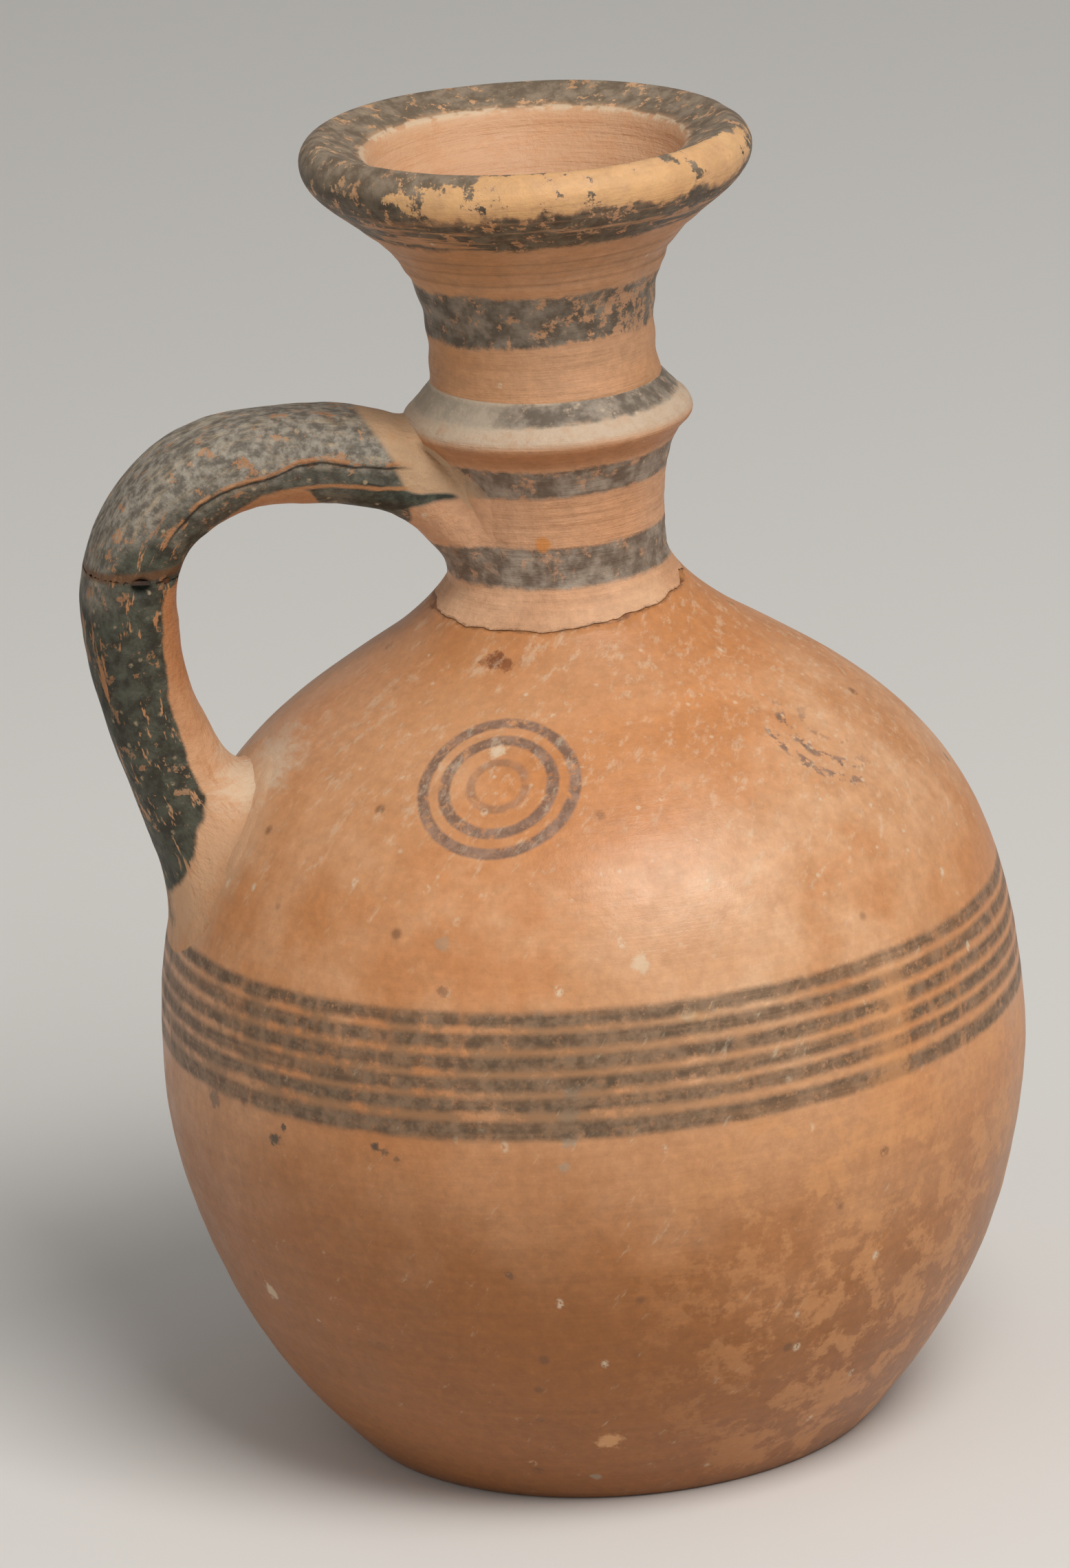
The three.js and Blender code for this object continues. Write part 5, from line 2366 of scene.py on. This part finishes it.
@dataclass
class Studio:
    """The pale floor, the soft lights and the camera at the photograph's place."""

    floor_size: float = 9.0
    floor_back: float = 1.5
    wall_height: float = 1.6
    cove: float = 0.5
    cove_steps: int = 24
    azimuth: float = -8.0
    elevation: float = 17.497
    roll: float = -4.1146
    distance: float = 550.45
    target_height: float = 44.097
    aside: float = 2.77
    lens: float = 189.47
    sensor: float = 36.0
    room_light: float = 0.3
    clip: tuple[float, float] = (0.01, 20.0)
    floor_tint: Colour = colour(226, 224, 220)
    floor_roughness: float = 0.8
    floor_gloss: float = 0.1
    lamps: tuple[Lamp, ...] = (
        Lamp("key_lamp", direction=24.0, elevation=52.0, distance=0.85, size=0.45, power=5.9,
             tint=(1.0, 0.98, 0.95)),
        Lamp("fill_lamp", direction=-58.0, elevation=22.0, distance=0.9, size=0.7, power=0.65,
             tint=(1.0, 0.97, 0.93)))

    def camera(self) -> None:
        """Places the camera, a long lens a little above the juglet's own level."""
        turned, raised = math.radians(self.azimuth), math.radians(self.elevation)
        back = Vector((math.sin(turned) * math.cos(raised),
                       -math.cos(turned) * math.cos(raised), math.sin(raised)))
        right = Vector((math.cos(turned), math.sin(turned), 0))
        up = back.cross(right)
        tilt = math.radians(self.roll)
        across = right * math.cos(tilt) + up * math.sin(tilt)
        upward = up * math.cos(tilt) - right * math.sin(tilt)
        lens = bpy.data.cameras.new("camera")
        lens.lens, lens.sensor_width, lens.sensor_fit = self.lens, self.sensor, "AUTO"
        lens.clip_start, lens.clip_end = self.clip
        camera = bpy.data.objects.new("camera", lens)
        bpy.context.scene.collection.objects.link(camera)
        spot = Vector((0, 0, self.target_height)) + back * self.distance - across * self.aside
        facing = Matrix((across, upward, back)).transposed().to_4x4()
        camera.matrix_world = Matrix.Translation(spot * MM) @ facing
        bpy.context.scene.camera = camera

    def backdrop(self) -> None:
        """Makes the floor with its back edge drawn up and the corner rounded."""
        pick_none()
        bpy.ops.mesh.primitive_plane_add(size=self.floor_size, location=(0, 0, 0))
        floor = newly_made("floor_and_backdrop")
        bpy.ops.object.mode_set(mode="EDIT")
        bpy.ops.mesh.select_all(action="SELECT")
        bpy.ops.transform.translate(value=(0, self.floor_back - self.floor_size / 2, 0))
        bpy.ops.object.mode_set(mode="OBJECT")

        def at_corner(edge: bpy.types.MeshEdge) -> bool:
            """Tells whether an edge is the one where the floor meets the wall."""
            ends = [floor.data.vertices[index].co for index in edge.vertices]
            return all(end.y > 0 and end.z < self.wall_height / 2 for end in ends)

        choose(floor, MeshPart.EDGE, at_corner)
        bpy.ops.mesh.extrude_edges_move(TRANSFORM_OT_translate={"value": (0, 0, self.wall_height)})
        bpy.ops.object.mode_set(mode="OBJECT")
        choose(floor, MeshPart.EDGE, at_corner)
        bpy.ops.mesh.bevel(offset=self.cove, segments=self.cove_steps, affect="EDGES")
        bpy.ops.object.mode_set(mode="OBJECT")
        smooth(floor)
        paper = Shader("pale_floor").finish(self.floor_tint, self.floor_roughness, None,
                                            self.floor_gloss)
        floor.data.materials.append(paper)

    def world(self) -> None:
        """Gives the surroundings an even pale light."""
        world = bpy.data.worlds.new("pale_room")
        world.use_nodes = True
        background = world.node_tree.nodes["Background"]
        background.inputs["Color"].default_value = (1.0, 1.0, 1.0, 1.0)
        background.inputs["Strength"].default_value = self.room_light
        bpy.context.scene.world = world

    def build(self) -> None:
        """Sets up the whole studio."""
        self.camera()
        self.backdrop()
        self.world()
        for lamp in self.lamps:
            lamp.hang(Vector((0, 0, self.target_height * MM)))
        bpy.context.scene.view_settings.view_transform = "Standard"


def main() -> None:
    """Builds the juglet piece by piece, dresses it and lights it."""
    logging.basicConfig(level=logging.INFO, format="%(name)s: %(message)s")
    Studio().build()
    outline = VesselOutline()
    form = HandleForm(outline)
    handle = Handle(form)
    body_finish = BodyFinish(outline, root_height=form.foot_height)
    neck_finish = NeckFinish()
    for shell, finish, node in (
            (Body(outline), body_finish, "body"), (Neck(outline), neck_finish, "neck"),
            (Mouth(outline), MouthFinish(), "mouth")):
        hand_over(shell.build(), finish.material(), Slot.PAINTED_CLAY, node)
    paint = HandleFinish(body_finish, neck_finish).material(form, handle.break_run())
    for piece, node in zip(handle.build(), ("handle_upper", "handle_lower")):
        hand_over(piece, paint, Slot.HANDLE_PAINT, node)
    dark_glue = GlueFinish("dark_glue", colour(50, 36, 26), colour(94, 60, 38))
    for film, finish, node in ((NeckGlue(outline), GlueFinish(), "neck_glue"),
                               (HandleGlue(form, handle), dark_glue, "handle_glue")):
        hand_over(film.build(), finish.material(), Slot.GLUE, node)
    collar_smear = RootClay("collar_root_smear", outline, form.root_height, COLLAR_SMEAR_EDGE,
                            thickness=0.4, seed=3.0)
    shoulder_smear = RootClay("shoulder_root_smear", outline, form.foot_height,
                              SHOULDER_SMEAR_EDGE, thickness=0.12, seed=7.0)
    for smear, finish, pale, low, node in (
            (collar_smear, neck_finish, HandleFinish.wedge, COLLAR_SMEAR_PALE_FROM,
             "collar_root_clay"),
            (shoulder_smear, body_finish, BodyFinish.root_tint, 0.0, "shoulder_root_clay")):
        material = smear_material(finish, smear.name + "_clay", pale, low)
        hand_over(smear.build(), material, Slot.BARE_CLAY, node)


if __name__ == "__main__":
    main()
